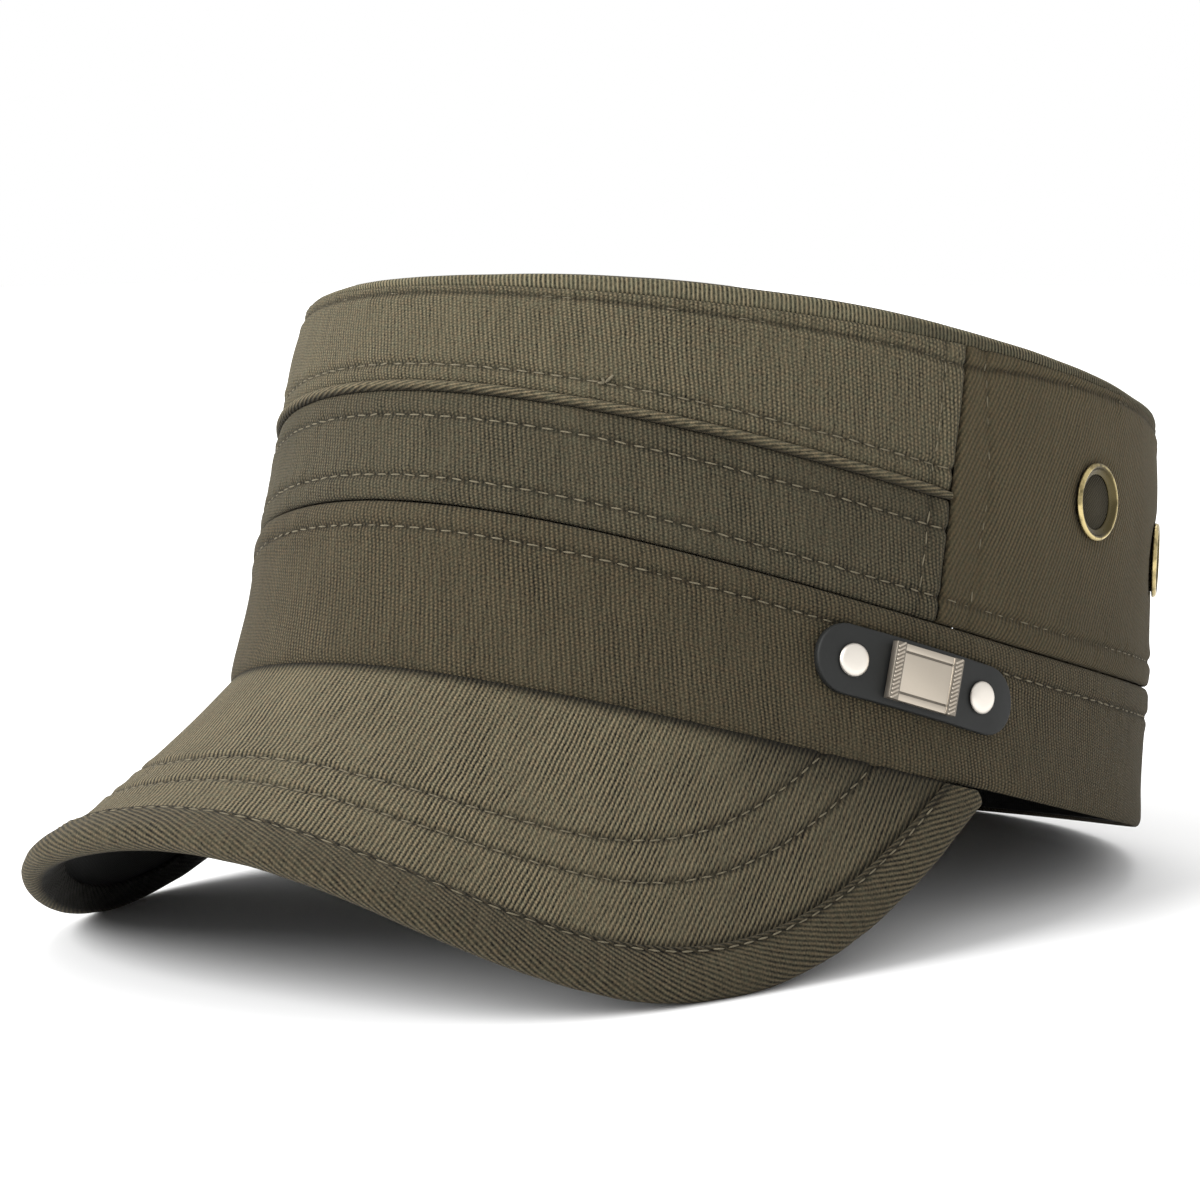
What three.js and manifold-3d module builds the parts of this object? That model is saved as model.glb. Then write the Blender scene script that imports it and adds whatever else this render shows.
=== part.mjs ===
// Flat-top military cap in cotton twill, resting by itself on a flat surface.
// Millimetres. Inside the cap group +Z runs up the crown, the peak points to -Y, and +X is the
// wearer's left. The outer group lays the cap back until the peak's two low sides and the hem at
// the back of the head touch the surface at z = 0.

import * as THREE from 'three';
import { mergeVertices } from 'three/addons/utils/BufferGeometryUtils.js';
import Module from 'manifold-3d';

const wasm = await Module();
wasm.setup();

// Clearance that neighbouring pieces keep
const GAP = 0.3;

// Crown plan: half width and the reach to front and back, at the hem and at the top
const HEM_PLAN = { halfWidth: 81.8, front: 103.6, back: 100.0, shift: 0 };
const TOP_PLAN = { halfWidth: 80.7, front: 94.1, back: 89.8, shift: -3.9 };
const CROWN_HEIGHT = 76.8;
// How much narrower the front of the oval is than its back
const EGG = 0.075;
// How quickly the front length gives way to the back length round the side
const END_BLEND = 2.5;

// Height of each line of the crown at the front, the side and the back
const LINES = {
  hem: { front: 2.3, side: -3.0, back: 3.7 },
  fold: { front: 31.4, side: 23.6, back: 32.6 },
  piping: { front: 52.4, side: 46.0, back: 47.6 },
  top: { front: 73.1, side: 78.2, back: 77.7 },
};

const CLOTH = 1.8;
const BAND_CLOTH = 1.7;
const SWEATBAND = { cloth: 1.0, height: 24 };
const PIPING = { radius: 1.1, proud: -0.2, seat: 1.3, sides: 8 };
// The top panel's rim stands this high over the side walls
const RIM_HEIGHT = 2.2;
const TOP_SINK = 1.5;
const TOP_CLOTH = 1.8;

// Angle from the front to the side seams, and half the slit that a seam leaves
const SEAM_ANGLE = 70.5;
const SEAM_HALF_GAP = 0.11;
const FULL_TURN_STEPS = 72;
const FRONT_STEPS = 30;
const BACK_STEPS = 23;

// Wall profiles. v runs up the piece from 0 to 1, out is how far the outer face stands proud
const BAND_PROFILE = [
  { v: 0.0, out: -0.5 },
  { v: 0.035, out: 0.5 },
  { v: 0.14, out: 0.45 },
  { v: 0.3, out: 0.05 },
  { v: 0.72, out: 0.1 },
  { v: 0.9, out: 0.5 },
  { v: 0.98, out: 0.45 },
  { v: 1.0, out: -0.4 },
];
const LOWER_PROFILE = [
  { v: 0.0, out: -0.5 },
  { v: 0.05, out: 0.1 },
  { v: 0.3, out: 0.25 },
  { v: 0.7, out: 0.2 },
  { v: 0.93, out: -0.1 },
  { v: 1.0, out: -0.8 },
];
const UPPER_PROFILE = [
  { v: 0.0, out: -0.8 },
  { v: 0.06, out: 0.0 },
  { v: 0.3, out: 0.35 },
  { v: 0.6, out: 0.45 },
  { v: 0.9, out: 0.15 },
  { v: 1.0, out: -0.2 },
];
const BACK_PROFILE = [
  { v: 0.0, out: -0.5 },
  { v: 0.025, out: 0.2 },
  { v: 0.3, out: 0.35 },
  { v: 0.6, out: 0.4 },
  { v: 0.93, out: 0.15 },
  { v: 1.0, out: -0.2 },
];

// Top panel, ring by ring from the middle of its underside over the rim to its flat face.
// inset is measured from the wall's outer face, over from the top line, and flat says how much the
// ring follows the flat face instead
const TOP_RINGS = [
  { inset: 12.0, over: -TOP_SINK - TOP_CLOTH, flat: 1 },
  { inset: 6.0, over: -2.6, flat: 0.5 },
  { inset: 3.2, over: -RIM_HEIGHT + GAP, flat: 0 },
  { inset: 0.5, over: -RIM_HEIGHT + GAP, flat: 0 },
  { inset: 0.0, over: -1.4, flat: 0 },
  { inset: 0.3, over: -0.4, flat: 0 },
  { inset: 1.4, over: 0.0, flat: 0 },
  { inset: 3.2, over: -0.3, flat: 0.1 },
  { inset: 7.0, over: -1.2, flat: 0.7 },
  { inset: 12.0, over: -TOP_SINK, flat: 1 },
];

// Peak: a sheet of straight rulings from the hem to a rounded outer edge. Past the hem it sits a
// little askew, over to the wearer's left and lower there
const PEAK = {
  endAngle: 74,
  halfWidth: 78.4,
  depth: 128.9,
  centreY: -15.6,
  squareness: 2.3,
  slope: 1.0,
  sideSlope: 0.79,
  tipSlope: 1.16,
  flatten: 0.0054,
  fan: 0.43,
  board: 1.9,
  lining: 0.7,
  liningEnd: 68,
  tuck: 2.0,
  dip: 0.5,
  dipReach: 4,
  shift: 1.2,
  roll: 0.02,
  skewReach: 8,
  steps: 28,
};
// Where both layers of the peak have rows, as shares of a ruling's reach
const PEAK_SHARES = [0.08, 0.3, 0.6, 0.85, 1];
// Binding round the edge: how far it reaches in over the sheet, in under it, out past its edge,
// and on along the edge's line to the hem
const BINDING = { reach: 4.0, under: 2.6, overhang: 2.0, cloth: 0.8, steps: 40, runOn: 12 };

// Vent eyelets: angle from the front and height of each pair
const EYELETS = [
  { place: 'front', angle: 94.4, height: 54.4 },
  { place: 'back', angle: 121.0, height: 51.0 },
];
const EYELET = { radius: 7.3, bore: 5.6, barrel: 6.1, rim: 0.9, depth: 2.4, sides: 18 };
const VENT_MESH = { thickness: 0.6, sunk: 1.6 };

// Badge on the left side of the band
const BADGE = { angle: 68.3, height: 13.6, slope: -0.06 };
const STRAP = { length: 43.3, width: 12.4, thickness: 1.6, edge: 0.35, steps: 18 };
const PLATE = { length: 15.2, width: 10.2, thickness: 1.2, flange: 2.1, step: 0.35 };
const RIVET = { radius: 3.2, height: 1.0, spread: 14.4, sides: 16 };

const finishes = {
  twill: { color: 0x5c5542, roughness: 0.95, metalness: 0 },
  binding: { color: 0x514a3a, roughness: 0.95, metalness: 0 },
  dark: { color: 0x14130f, roughness: 0.9, metalness: 0 },
  brass: { color: 0xa3945f, roughness: 0.35, metalness: 1 },
  strap: { color: 0x2e3030, roughness: 0.6, metalness: 0 },
  steel: { color: 0xcfc4b4, roughness: 0.35, metalness: 1 },
};

const radians = THREE.MathUtils.degToRad;
const mix = THREE.MathUtils.lerp;

// A smooth curve through a line's front, side and back heights
function lineHeight(line, angle) {
  const { front, side, back } = LINES[line];
  const ends = (front + back) / 2;
  const swing = ((front - back) / 2) * Math.cos(angle);
  return (ends + side) / 2 + swing + ((ends - side) / 2) * Math.cos(2 * angle);
}

// Crown outline at a height, with the angle counted from the front towards the wearer's left
function planPoint(angle, z) {
  const up = z / CROWN_HEIGHT;
  const cosine = Math.cos(angle);
  const frontShare = 0.5 + 0.5 * Math.tanh(END_BLEND * cosine);
  const front = mix(HEM_PLAN.front, TOP_PLAN.front, up);
  const back = mix(HEM_PLAN.back, TOP_PLAN.back, up);
  const width = mix(HEM_PLAN.halfWidth, TOP_PLAN.halfWidth, up);
  const x = width * Math.sin(angle) * (1 - EGG * cosine);
  const y = -mix(back, front, frontShare) * cosine + mix(HEM_PLAN.shift, TOP_PLAN.shift, up);
  return new THREE.Vector2(x, y);
}

function planNormal(angle, z) {
  const step = 0.001;
  const along = planPoint(angle + step, z).sub(planPoint(angle - step, z));
  return new THREE.Vector2(along.y, -along.x).normalize();
}

// Millimetres of outline to a radian
function planSpeed(angle, z) {
  const step = 0.001;
  return planPoint(angle + step, z).distanceTo(planPoint(angle - step, z)) / (2 * step);
}

// A point that stands out from the wall by a distance
function wallPoint(angle, z, out = 0) {
  const point = planPoint(angle, z).addScaledVector(planNormal(angle, z), out);
  return new THREE.Vector3(point.x, point.y, z);
}

// A geometry from equal rows of points: closed rows joined one to the next, with the two end rows
// filled, or the last row joined to the first. cap is the outline that fills an end row
function loft(rows, { closed = false, cap = null } = {}) {
  const count = rows[0].length;
  const index = [];
  const last = closed ? rows.length : rows.length - 1;
  for (let row = 0; row < last; row += 1) {
    const here = row * count;
    const next = ((row + 1) % rows.length) * count;
    for (let point = 0; point < count; point += 1) {
      const after = (point + 1) % count;
      index.push(here + point, next + point, next + after);
      index.push(here + point, next + after, here + after);
    }
  }
  if (!closed) {
    const ends = (rows.length - 1) * count;
    const sameTurn = THREE.ShapeUtils.area(cap) > 0;
    for (const [a, b, c] of THREE.ShapeUtils.triangulateShape(cap, [])) {
      const [second, third] = sameTurn ? [b, c] : [c, b];
      index.push(a, second, third);
      index.push(ends + a, ends + third, ends + second);
    }
  }
  const geometry = new THREE.BufferGeometry();
  const positions = rows.flat().flatMap((point) => point.toArray());
  geometry.setAttribute('position', new THREE.Float32BufferAttribute(positions, 3));
  geometry.setIndex(signedVolume(positions, index) < 0 ? turned(index) : index);
  geometry.computeVertexNormals();
  return geometry;
}

function turned(index) {
  const faces = [];
  for (let face = 0; face < index.length; face += 3) {
    faces.push(index[face], index[face + 2], index[face + 1]);
  }
  return faces;
}

function signedVolume(positions, index) {
  const corner = (i) => new THREE.Vector3().fromArray(positions, 3 * index[i]);
  let volume = 0;
  for (let face = 0; face < index.length; face += 3) {
    volume += corner(face).dot(corner(face + 1).cross(corner(face + 2)));
  }
  return volume / 6;
}

function toSolid(geometry) {
  const bare = geometry.clone();
  bare.deleteAttribute('normal');
  bare.deleteAttribute('uv');
  const merged = mergeVertices(bare, 1e-4);
  const vertProperties = new Float32Array(merged.attributes.position.array);
  const triVerts = new Uint32Array(merged.index.array);
  return new wasm.Manifold(new wasm.Mesh({ numProp: 3, vertProperties, triVerts }));
}

function toGeometry(solid) {
  const { vertProperties, triVerts } = solid.getMesh();
  const geometry = new THREE.BufferGeometry();
  geometry.setAttribute('position', new THREE.BufferAttribute(vertProperties, 3));
  geometry.setIndex(new THREE.BufferAttribute(triVerts, 1));
  geometry.computeVertexNormals();
  return geometry;
}

function makeMesh(name, geometry, finish) {
  const mesh = new THREE.Mesh(geometry, new THREE.MeshStandardMaterial(finishes[finish]));
  mesh.name = name;
  return mesh;
}

function evenSteps(from, to, steps) {
  return Array.from({ length: steps + 1 }, (_, step) => mix(from, to, step / steps));
}

// A cloth wall between two heights, following a profile; its inner face has fewer rows
function wallGeometry({ angles, low, high, profile, cloth, closed = false }) {
  const first = profile[0];
  const last = profile[profile.length - 1];
  const inner = [
    { v: last.v, out: Math.min(last.out, 0) - cloth },
    { v: 0.5, out: -cloth },
    { v: first.v, out: Math.min(first.out, 0) - cloth },
  ];
  const outline = [...profile, ...inner];
  const rows = angles.map((angle) => {
    const bottom = low(angle);
    const top = high(angle);
    return outline.map(({ v, out }) => wallPoint(angle, mix(bottom, top, v), out));
  });
  const cap = outline.map(({ v, out }) => new THREE.Vector2(out, v * (high(0) - low(0))));
  return loft(rows, { closed, cap });
}

function wholeTurn() {
  return evenSteps(0, 2 * Math.PI, FULL_TURN_STEPS).slice(0, -1);
}

function makeHeadBand() {
  const geometry = wallGeometry({
    angles: wholeTurn(),
    low: (angle) => lineHeight('hem', angle),
    high: (angle) => lineHeight('fold', angle) - GAP / 2,
    profile: BAND_PROFILE,
    cloth: BAND_CLOTH,
    closed: true,
  });
  return makeMesh('head_band', geometry, 'twill');
}

// The dark inner band lies against the head band
function makeSweatband() {
  const outer = BAND_PROFILE[0].out - BAND_CLOTH - GAP;
  const inner = outer - SWEATBAND.cloth;
  const rows = wholeTurn().map((angle) => {
    const hem = lineHeight('hem', angle) + GAP;
    const top = hem + SWEATBAND.height;
    return [
      wallPoint(angle, hem, outer),
      wallPoint(angle, top, outer + 0.2),
      wallPoint(angle, top, inner + 0.2),
      wallPoint(angle, hem, inner),
    ];
  });
  return makeMesh('sweatband', loft(rows, { closed: true }), 'dark');
}

function makeFrontPanels() {
  const end = radians(SEAM_ANGLE - SEAM_HALF_GAP);
  const angles = evenSteps(-end, end, FRONT_STEPS);
  const lower = wallGeometry({
    angles,
    low: (angle) => lineHeight('fold', angle) + GAP / 2,
    high: (angle) => lineHeight('piping', angle) - PIPING.seat,
    profile: LOWER_PROFILE,
    cloth: CLOTH,
  });
  const upper = wallGeometry({
    angles,
    low: (angle) => lineHeight('piping', angle) + PIPING.seat,
    high: (angle) => lineHeight('top', angle) - RIM_HEIGHT,
    profile: UPPER_PROFILE,
    cloth: CLOTH,
  });
  return [
    makeMesh('front_panel_lower', lower, 'twill'),
    makeMesh('front_panel_upper', upper, 'twill'),
  ];
}

// Corded piping in the slit between the two front panels
function makePiping() {
  const end = radians(SEAM_ANGLE - SEAM_HALF_GAP);
  const turns = evenSteps(0, 2 * Math.PI, PIPING.sides).slice(0, -1);
  const section = turns.map((turn) => ({
    out: PIPING.proud + PIPING.radius * Math.cos(turn),
    rise: PIPING.radius * Math.sin(turn),
  }));
  const rows = evenSteps(-end, end, FRONT_STEPS).map((angle) => {
    const height = lineHeight('piping', angle);
    return section.map(({ out, rise }) => wallPoint(angle, height + rise, out));
  });
  const cap = section.map(({ out, rise }) => new THREE.Vector2(out, rise));
  return makeMesh('piping', loft(rows, { cap }), 'twill');
}

// Where a vent goes through the wall: its middle, and the turn from +Z to the wall's normal
function ventFrame(side, { angle, height }) {
  const turn = side * radians(angle);
  const step = 0.5;
  const along = wallPoint(turn + 0.01, height).sub(wallPoint(turn - 0.01, height));
  const up = wallPoint(turn, height + step).sub(wallPoint(turn, height - step)).normalize();
  const normal = along.cross(up).normalize();
  const middle = wallPoint(turn, height, 0.35);
  const quaternion = new THREE.Quaternion().setFromUnitVectors(new THREE.Vector3(0, 0, 1), normal);
  return { middle, quaternion, normal };
}

function makeBackPanel(side, name) {
  const start = radians(SEAM_ANGLE + SEAM_HALF_GAP);
  const end = Math.PI - radians(SEAM_HALF_GAP);
  const angles = evenSteps(side * start, side * end, BACK_STEPS);
  const sheet = wallGeometry({
    angles,
    low: (angle) => lineHeight('fold', angle) + GAP / 2,
    high: (angle) => lineHeight('top', angle) - RIM_HEIGHT,
    profile: BACK_PROFILE,
    cloth: CLOTH,
  });
  let solid = toSolid(sheet);
  for (const vent of EYELETS) {
    const { middle, quaternion } = ventFrame(side, vent);
    const punch = new THREE.CylinderGeometry(
      EYELET.barrel + GAP, EYELET.barrel + GAP, 12, EYELET.sides);
    punch.rotateX(Math.PI / 2);
    punch.applyQuaternion(quaternion);
    punch.translate(middle.x, middle.y, middle.z);
    solid = solid.subtract(toSolid(punch));
  }
  return makeMesh(name, toGeometry(solid), 'twill');
}

// Brass eyelet: a barrel through the cloth and a rounded rim on its outside
function eyeletGeometry() {
  const { radius, bore, barrel, rim, depth, sides } = EYELET;
  const outline = [
    [bore, -depth],
    [barrel, -depth],
    [barrel, GAP + 0.1],
    [radius - 0.1, GAP + 0.1],
    [radius, 0.55 * rim],
    [radius - 0.5, rim],
    [barrel, rim + 0.05],
    [bore, 0.6 * rim],
    [bore, -depth],
  ];
  return new THREE.LatheGeometry(outline.map(([r, z]) => new THREE.Vector2(r, z)), sides);
}

function makeVent(side, sideName, vent) {
  const { middle, quaternion, normal } = ventFrame(side, vent);
  const ring = toGeometry(toSolid(eyeletGeometry().rotateX(Math.PI / 2)));
  const eyelet = makeMesh(`eyelet_${sideName}_${vent.place}`, ring, 'brass');
  eyelet.position.copy(middle);
  eyelet.quaternion.copy(quaternion);
  const disc = new THREE.CylinderGeometry(
    EYELET.bore - GAP, EYELET.bore - GAP, VENT_MESH.thickness, EYELET.sides);
  disc.rotateX(Math.PI / 2);
  const mesh = makeMesh(`vent_mesh_${sideName}_${vent.place}`, toGeometry(toSolid(disc)), 'dark');
  mesh.position.copy(middle).addScaledVector(normal, -VENT_MESH.sunk);
  mesh.quaternion.copy(quaternion);
  return [eyelet, mesh];
}

// The flat face follows the top line's fall to the front
function flatTopHeight(y) {
  const { front, side, back } = LINES.top;
  const middle = ((front + back) / 2 + side) / 2;
  return middle + ((back - front) / 2) * (y / TOP_PLAN.front);
}

function makeCrownTop() {
  const rows = TOP_RINGS.map(({ inset, over, flat }) => wholeTurn().map((angle) => {
    const rim = lineHeight('top', angle);
    const point = wallPoint(angle, rim, -inset);
    point.z = mix(rim, flatTopHeight(point.y), flat) + over;
    return point;
  }));
  const cap = rows[0].map((point) => new THREE.Vector2(point.x, point.y));
  return makeMesh('crown_top', loft(rows, { cap }), 'twill');
}

// Fall of a ruling to a millimetre of reach
function peakSlope(angle) {
  const side = Math.sin(angle) ** 2;
  return PEAK.slope + PEAK.sideSlope * side + PEAK.tipSlope * side * side;
}

// Where a reach away from the hem along the ruling at an angle lies in plan, before the skew
function peakPlan(angle, reach) {
  const start = planPoint(angle, lineHeight('hem', angle));
  return new THREE.Vector2(start.x + PEAK.fan * Math.sin(angle) * reach, start.y - reach);
}

// The same place on the peak's upper face
function peakPoint(angle, reach) {
  const { x, y } = peakPlan(angle, reach);
  const fall = peakSlope(angle) * reach - PEAK.flatten * reach * reach;
  const under = PEAK.dip * Math.exp(-reach / PEAK.dipReach);
  const skew = 1 - Math.exp(-reach / PEAK.skewReach);
  const height = lineHeight('hem', angle) - fall - under;
  return new THREE.Vector3(x + PEAK.shift * skew, y, height - PEAK.roll * x * skew);
}

function peakNormal(angle, reach) {
  const step = 0.01;
  const across = peakPoint(angle + step, reach).sub(peakPoint(angle - step, reach));
  const outward = peakPoint(angle, reach + step).sub(peakPoint(angle, reach - step));
  return outward.cross(across).normalize();
}

// How far the ruling at an angle runs before it meets the peak's outer edge
function peakReach(angle) {
  const outside = (reach) => {
    const { x, y } = peakPlan(angle, reach);
    const wide = Math.abs(x / PEAK.halfWidth) ** PEAK.squareness;
    const deep = Math.max((PEAK.centreY - y) / PEAK.depth, 0) ** PEAK.squareness;
    return wide + deep > 1;
  };
  let near = 0;
  let far = PEAK.depth / 2;
  for (let pass = 0; pass < 40; pass += 1) {
    const middle = (near + far) / 2;
    if (outside(middle)) {
      far = middle;
    } else {
      near = middle;
    }
  }
  return near;
}

// A layer of the peak between two depths under its upper face, with a tuck under the hem
function peakLayer(name, { endAngle, top, bottom, tuck, fractions, finish }) {
  const end = radians(endAngle);
  const face = (angle, reach, depth) =>
    peakPoint(angle, reach).addScaledVector(peakNormal(angle, reach), -depth);
  const rows = evenSteps(-end, end, PEAK.steps).map((angle) => {
    const reach = peakReach(angle);
    const upper = fractions.map((share) => face(angle, share * reach, top));
    const lower = fractions.map((share) => face(angle, share * reach, bottom)).reverse();
    if (tuck > 0) {
      const hem = lineHeight('hem', angle) - PEAK.dip;
      upper.unshift(wallPoint(angle, hem, -tuck));
      lower.push(wallPoint(angle, hem - bottom, -tuck));
    }
    return [...upper, ...lower];
  });
  const flatReach = fractions.map((share) => share * 10);
  const upperCap = flatReach.map((reach) => new THREE.Vector2(reach, 1));
  const lowerCap = flatReach.map((reach) => new THREE.Vector2(reach, 0)).reverse();
  if (tuck > 0) {
    upperCap.unshift(new THREE.Vector2(-2, 1));
    lowerCap.push(new THREE.Vector2(-2, 0));
  }
  return makeMesh(name, loft(rows, { cap: [...upperCap, ...lowerCap] }), finish);
}

function makePeak() {
  const { board, lining, tuck } = PEAK;
  const liningTop = board + GAP;
  return [
    peakLayer('peak', {
      endAngle: PEAK.endAngle,
      top: 0,
      bottom: board,
      tuck,
      fractions: [0, ...PEAK_SHARES],
      finish: 'twill',
    }),
    peakLayer('peak_underside', {
      endAngle: PEAK.liningEnd,
      top: liningTop,
      bottom: liningTop + lining,
      tuck: 0,
      fractions: PEAK_SHARES,
      finish: 'dark',
    }),
  ];
}

// Binding folded over the peak's edge, swept along that edge
function makePeakBinding() {
  const { reach, under, overhang, cloth, steps, runOn } = BINDING;
  const slotTop = GAP;
  const slotBottom = -(PEAK.board + PEAK.lining + 2 * GAP);
  const middle = (slotTop + slotBottom) / 2;
  const noseInside = (slotTop - slotBottom) / 2;
  const nose = (radius) => [90, 45, 0, -45, -90].map((degrees) => ({
    inward: -overhang - radius * Math.cos(radians(degrees)),
    up: middle + radius * Math.sin(radians(degrees)),
  }));
  const outer = [
    { inward: reach, up: slotTop + 0.6 * cloth },
    { inward: reach - 0.8, up: slotTop + cloth },
    { inward: 0.5, up: slotTop + cloth },
    ...nose(noseInside + cloth),
    { inward: 0.5, up: slotBottom - cloth },
    { inward: under, up: slotBottom - 0.8 * cloth },
  ];
  const inner = [
    { inward: reach, up: slotTop },
    { inward: 0.5, up: slotTop },
    ...nose(noseInside),
    { inward: 0.5, up: slotBottom },
    { inward: under, up: slotBottom },
  ].reverse();
  const section = [...outer, ...inner];
  const end = radians(PEAK.endAngle);
  const stations = evenSteps(-end, end, steps).map(edgeStation);
  const first = { ...stations[0], edge: stations[0].edge.clone() };
  const last = { ...stations[steps], edge: stations[steps].edge.clone() };
  first.edge.addScaledVector(first.along, -runOn);
  last.edge.addScaledVector(last.along, runOn);
  const rows = [first, ...stations, last].map(({ edge, inward, normal }) =>
    section.map((point) => edge.clone()
      .addScaledVector(inward, point.inward)
      .addScaledVector(normal, point.up)));
  const cap = section.map((point) => new THREE.Vector2(point.inward, point.up));
  const swept = toSolid(loft(rows, { cap }));
  return makeMesh('peak_binding', toGeometry(swept.subtract(crownEnvelope())), 'binding');
}

// The peak's edge at an angle, with the edge's direction, the way in and the sheet's normal
function edgeStation(angle) {
  const step = 0.01;
  const edge = peakPoint(angle, peakReach(angle));
  const before = peakPoint(angle - step, peakReach(angle - step));
  const after = peakPoint(angle + step, peakReach(angle + step));
  const along = after.sub(before).normalize();
  const normal = peakNormal(angle, peakReach(angle));
  const inward = normal.clone().cross(along).normalize();
  return { edge, along, inward, normal };
}

// The space of the crown and what stands clear of its hem, which trims the binding's ends
function crownEnvelope() {
  const rows = [0, 1].map((level) => wholeTurn().map((angle) => {
    const hem = lineHeight('hem', angle);
    const point = wallPoint(angle, hem, BAND_PROFILE[1].out + GAP);
    point.z = level === 0 ? hem - GAP : CROWN_HEIGHT;
    return point;
  }));
  const cap = rows[0].map((point) => new THREE.Vector2(point.x, point.y));
  return toSolid(loft(rows, { cap }));
}

// A place on the band by the badge: along and up from its middle, and out from the band
function badgePoint(along, up, out) {
  const speed = planSpeed(radians(BADGE.angle), BADGE.height);
  const angle = radians(BADGE.angle) + along / speed;
  return wallPoint(angle, BADGE.height + up + BADGE.slope * along, out);
}

function badgeFrame(along, out) {
  const middle = badgePoint(along, 0, out);
  const forward = badgePoint(along + 0.5, 0, out).sub(badgePoint(along - 0.5, 0, out)).normalize();
  const up = badgePoint(along, 0.5, out).sub(badgePoint(along, -0.5, out)).normalize();
  const normal = forward.clone().cross(up).normalize();
  const turn = new THREE.Matrix4().makeBasis(forward, normal.clone().cross(forward), normal);
  return { middle, quaternion: new THREE.Quaternion().setFromRotationMatrix(turn) };
}

function makeBadge() {
  const { length, width, thickness, edge, steps } = STRAP;
  const foot = GAP + 0.15;
  const face = foot + thickness;
  const roundStart = (length - width) / 2;
  const rows = evenSteps(-1, 1, steps).map((share) => {
    const along = (length / 2) * Math.sin((share * Math.PI) / 2);
    const past = Math.max(Math.abs(along) - roundStart, 0) / (width / 2);
    const half = Math.max((width / 2) * Math.sqrt(Math.max(1 - past * past, 0)), 0.9);
    return [
      badgePoint(along, -half, foot),
      badgePoint(along, -half, face - edge),
      badgePoint(along, -half + edge, face),
      badgePoint(along, half - edge, face),
      badgePoint(along, half, face - edge),
      badgePoint(along, half, foot),
    ];
  });
  const cap = [[-3, 0], [-3, 1], [-2, 2], [2, 2], [3, 1], [3, 0]]
    .map(([x, y]) => new THREE.Vector2(x, y));
  const strap = makeMesh('badge_strap', loft(rows, { cap }), 'strap');
  const plate = makePlate(face + GAP);
  const rivets = ['front', 'back'].map((place, side) => {
    const along = (side === 0 ? -1 : 1) * RIVET.spread;
    return makeRivet(`badge_rivet_${place}`, along, face + GAP);
  });
  return [strap, plate, ...rivets];
}

// Metal plate with a raised flange at each end
function makePlate(out) {
  const { length, width, thickness, flange, step } = PLATE;
  const half = length / 2;
  const bevel = 0.3;
  const outline = new THREE.Shape([
    [-half, 0],
    [half, 0],
    [half, thickness + step - bevel],
    [half - bevel, thickness + step],
    [half - flange, thickness + step],
    [half - flange - bevel, thickness],
    [-half + flange + bevel, thickness],
    [-half + flange, thickness + step],
    [-half + bevel, thickness + step],
    [-half, thickness + step - bevel],
  ].map(([x, y]) => new THREE.Vector2(x, y)));
  const body = new THREE.ExtrudeGeometry(outline, { depth: width, bevelEnabled: false, steps: 1 });
  body.translate(0, 0, -width / 2);
  body.rotateX(Math.PI / 2);
  const mesh = makeMesh('badge_plate', toGeometry(toSolid(body)), 'steel');
  const { middle, quaternion } = badgeFrame(0, out);
  mesh.position.copy(middle);
  mesh.quaternion.copy(quaternion);
  return mesh;
}

function makeRivet(name, along, out) {
  const { radius, height, sides } = RIVET;
  const outline = [
    [0, 0],
    [radius, 0],
    [radius, 0.35 * height],
    [0.8 * radius, 0.8 * height],
    [0.4 * radius, height],
    [0, height],
  ].map(([r, z]) => new THREE.Vector2(r, z));
  const head = new THREE.LatheGeometry(outline, sides).rotateX(Math.PI / 2);
  const mesh = makeMesh(name, toGeometry(toSolid(head)), 'steel');
  const { middle, quaternion } = badgeFrame(along, out);
  mesh.position.copy(middle);
  mesh.quaternion.copy(quaternion);
  return mesh;
}

function makeCap() {
  const cap = new THREE.Group();
  cap.add(makeCrownTop(), ...makeFrontPanels(), makePiping());
  cap.add(makeHeadBand(), makeSweatband());
  cap.add(...makePeak(), makePeakBinding());
  for (const [side, sideName] of [[1, 'left'], [-1, 'right']]) {
    cap.add(makeBackPanel(side, `back_panel_${sideName}`));
    for (const vent of EYELETS) {
      cap.add(...makeVent(side, sideName, vent));
    }
  }
  cap.add(...makeBadge());
  return cap;
}

// All corners of the cap, in the cap's own frame
function cornersOf(cap) {
  cap.updateMatrixWorld(true);
  const corners = [];
  cap.traverse((child) => {
    if (child.isMesh) {
      const { position } = child.geometry.attributes;
      for (let i = 0; i < position.count; i += 1) {
        const corner = new THREE.Vector3().fromBufferAttribute(position, i);
        corners.push(corner.applyMatrix4(child.matrixWorld));
      }
    }
  });
  return corners;
}

// The turn at which both wings of the peak and the back of the hem touch a level surface
function restingTurn(corners) {
  const turn = new THREE.Euler();
  for (let pass = 0; pass < 30; pass += 1) {
    const lowest = { left: null, right: null, back: null };
    for (const corner of corners) {
      const front = corner.x > 0 ? 'left' : 'right';
      const part = corner.y > 0 ? 'back' : front;
      const { z } = corner.clone().applyEuler(turn);
      if (lowest[part] === null || z < lowest[part].z) {
        lowest[part] = { corner, z };
      }
    }
    const { left, right, back } = lowest;
    const wingHeight = (left.z + right.z) / 2;
    const wingY = (left.corner.y + right.corner.y) / 2;
    turn.x += Math.atan2(wingHeight - back.z, back.corner.y - wingY);
    turn.y += Math.atan2(left.z - right.z, left.corner.x - right.corner.x);
  }
  return turn;
}

// Lay the cap on the surface, with the middle of its footprint at the origin
function layDown(cap) {
  cap.rotation.copy(restingTurn(cornersOf(cap)));
  const laid = new THREE.Group();
  laid.add(cap);
  const box = new THREE.Box3().setFromObject(laid, true);
  const middle = box.getCenter(new THREE.Vector3());
  cap.position.set(-middle.x, -middle.y, -box.min.z);
  return laid;
}

export default layDown(makeCap());
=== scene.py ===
"""A flat-top cap in olive twill: cloth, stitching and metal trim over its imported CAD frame."""

import bisect
import collections
import functools
import itertools
import math
import types

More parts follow.
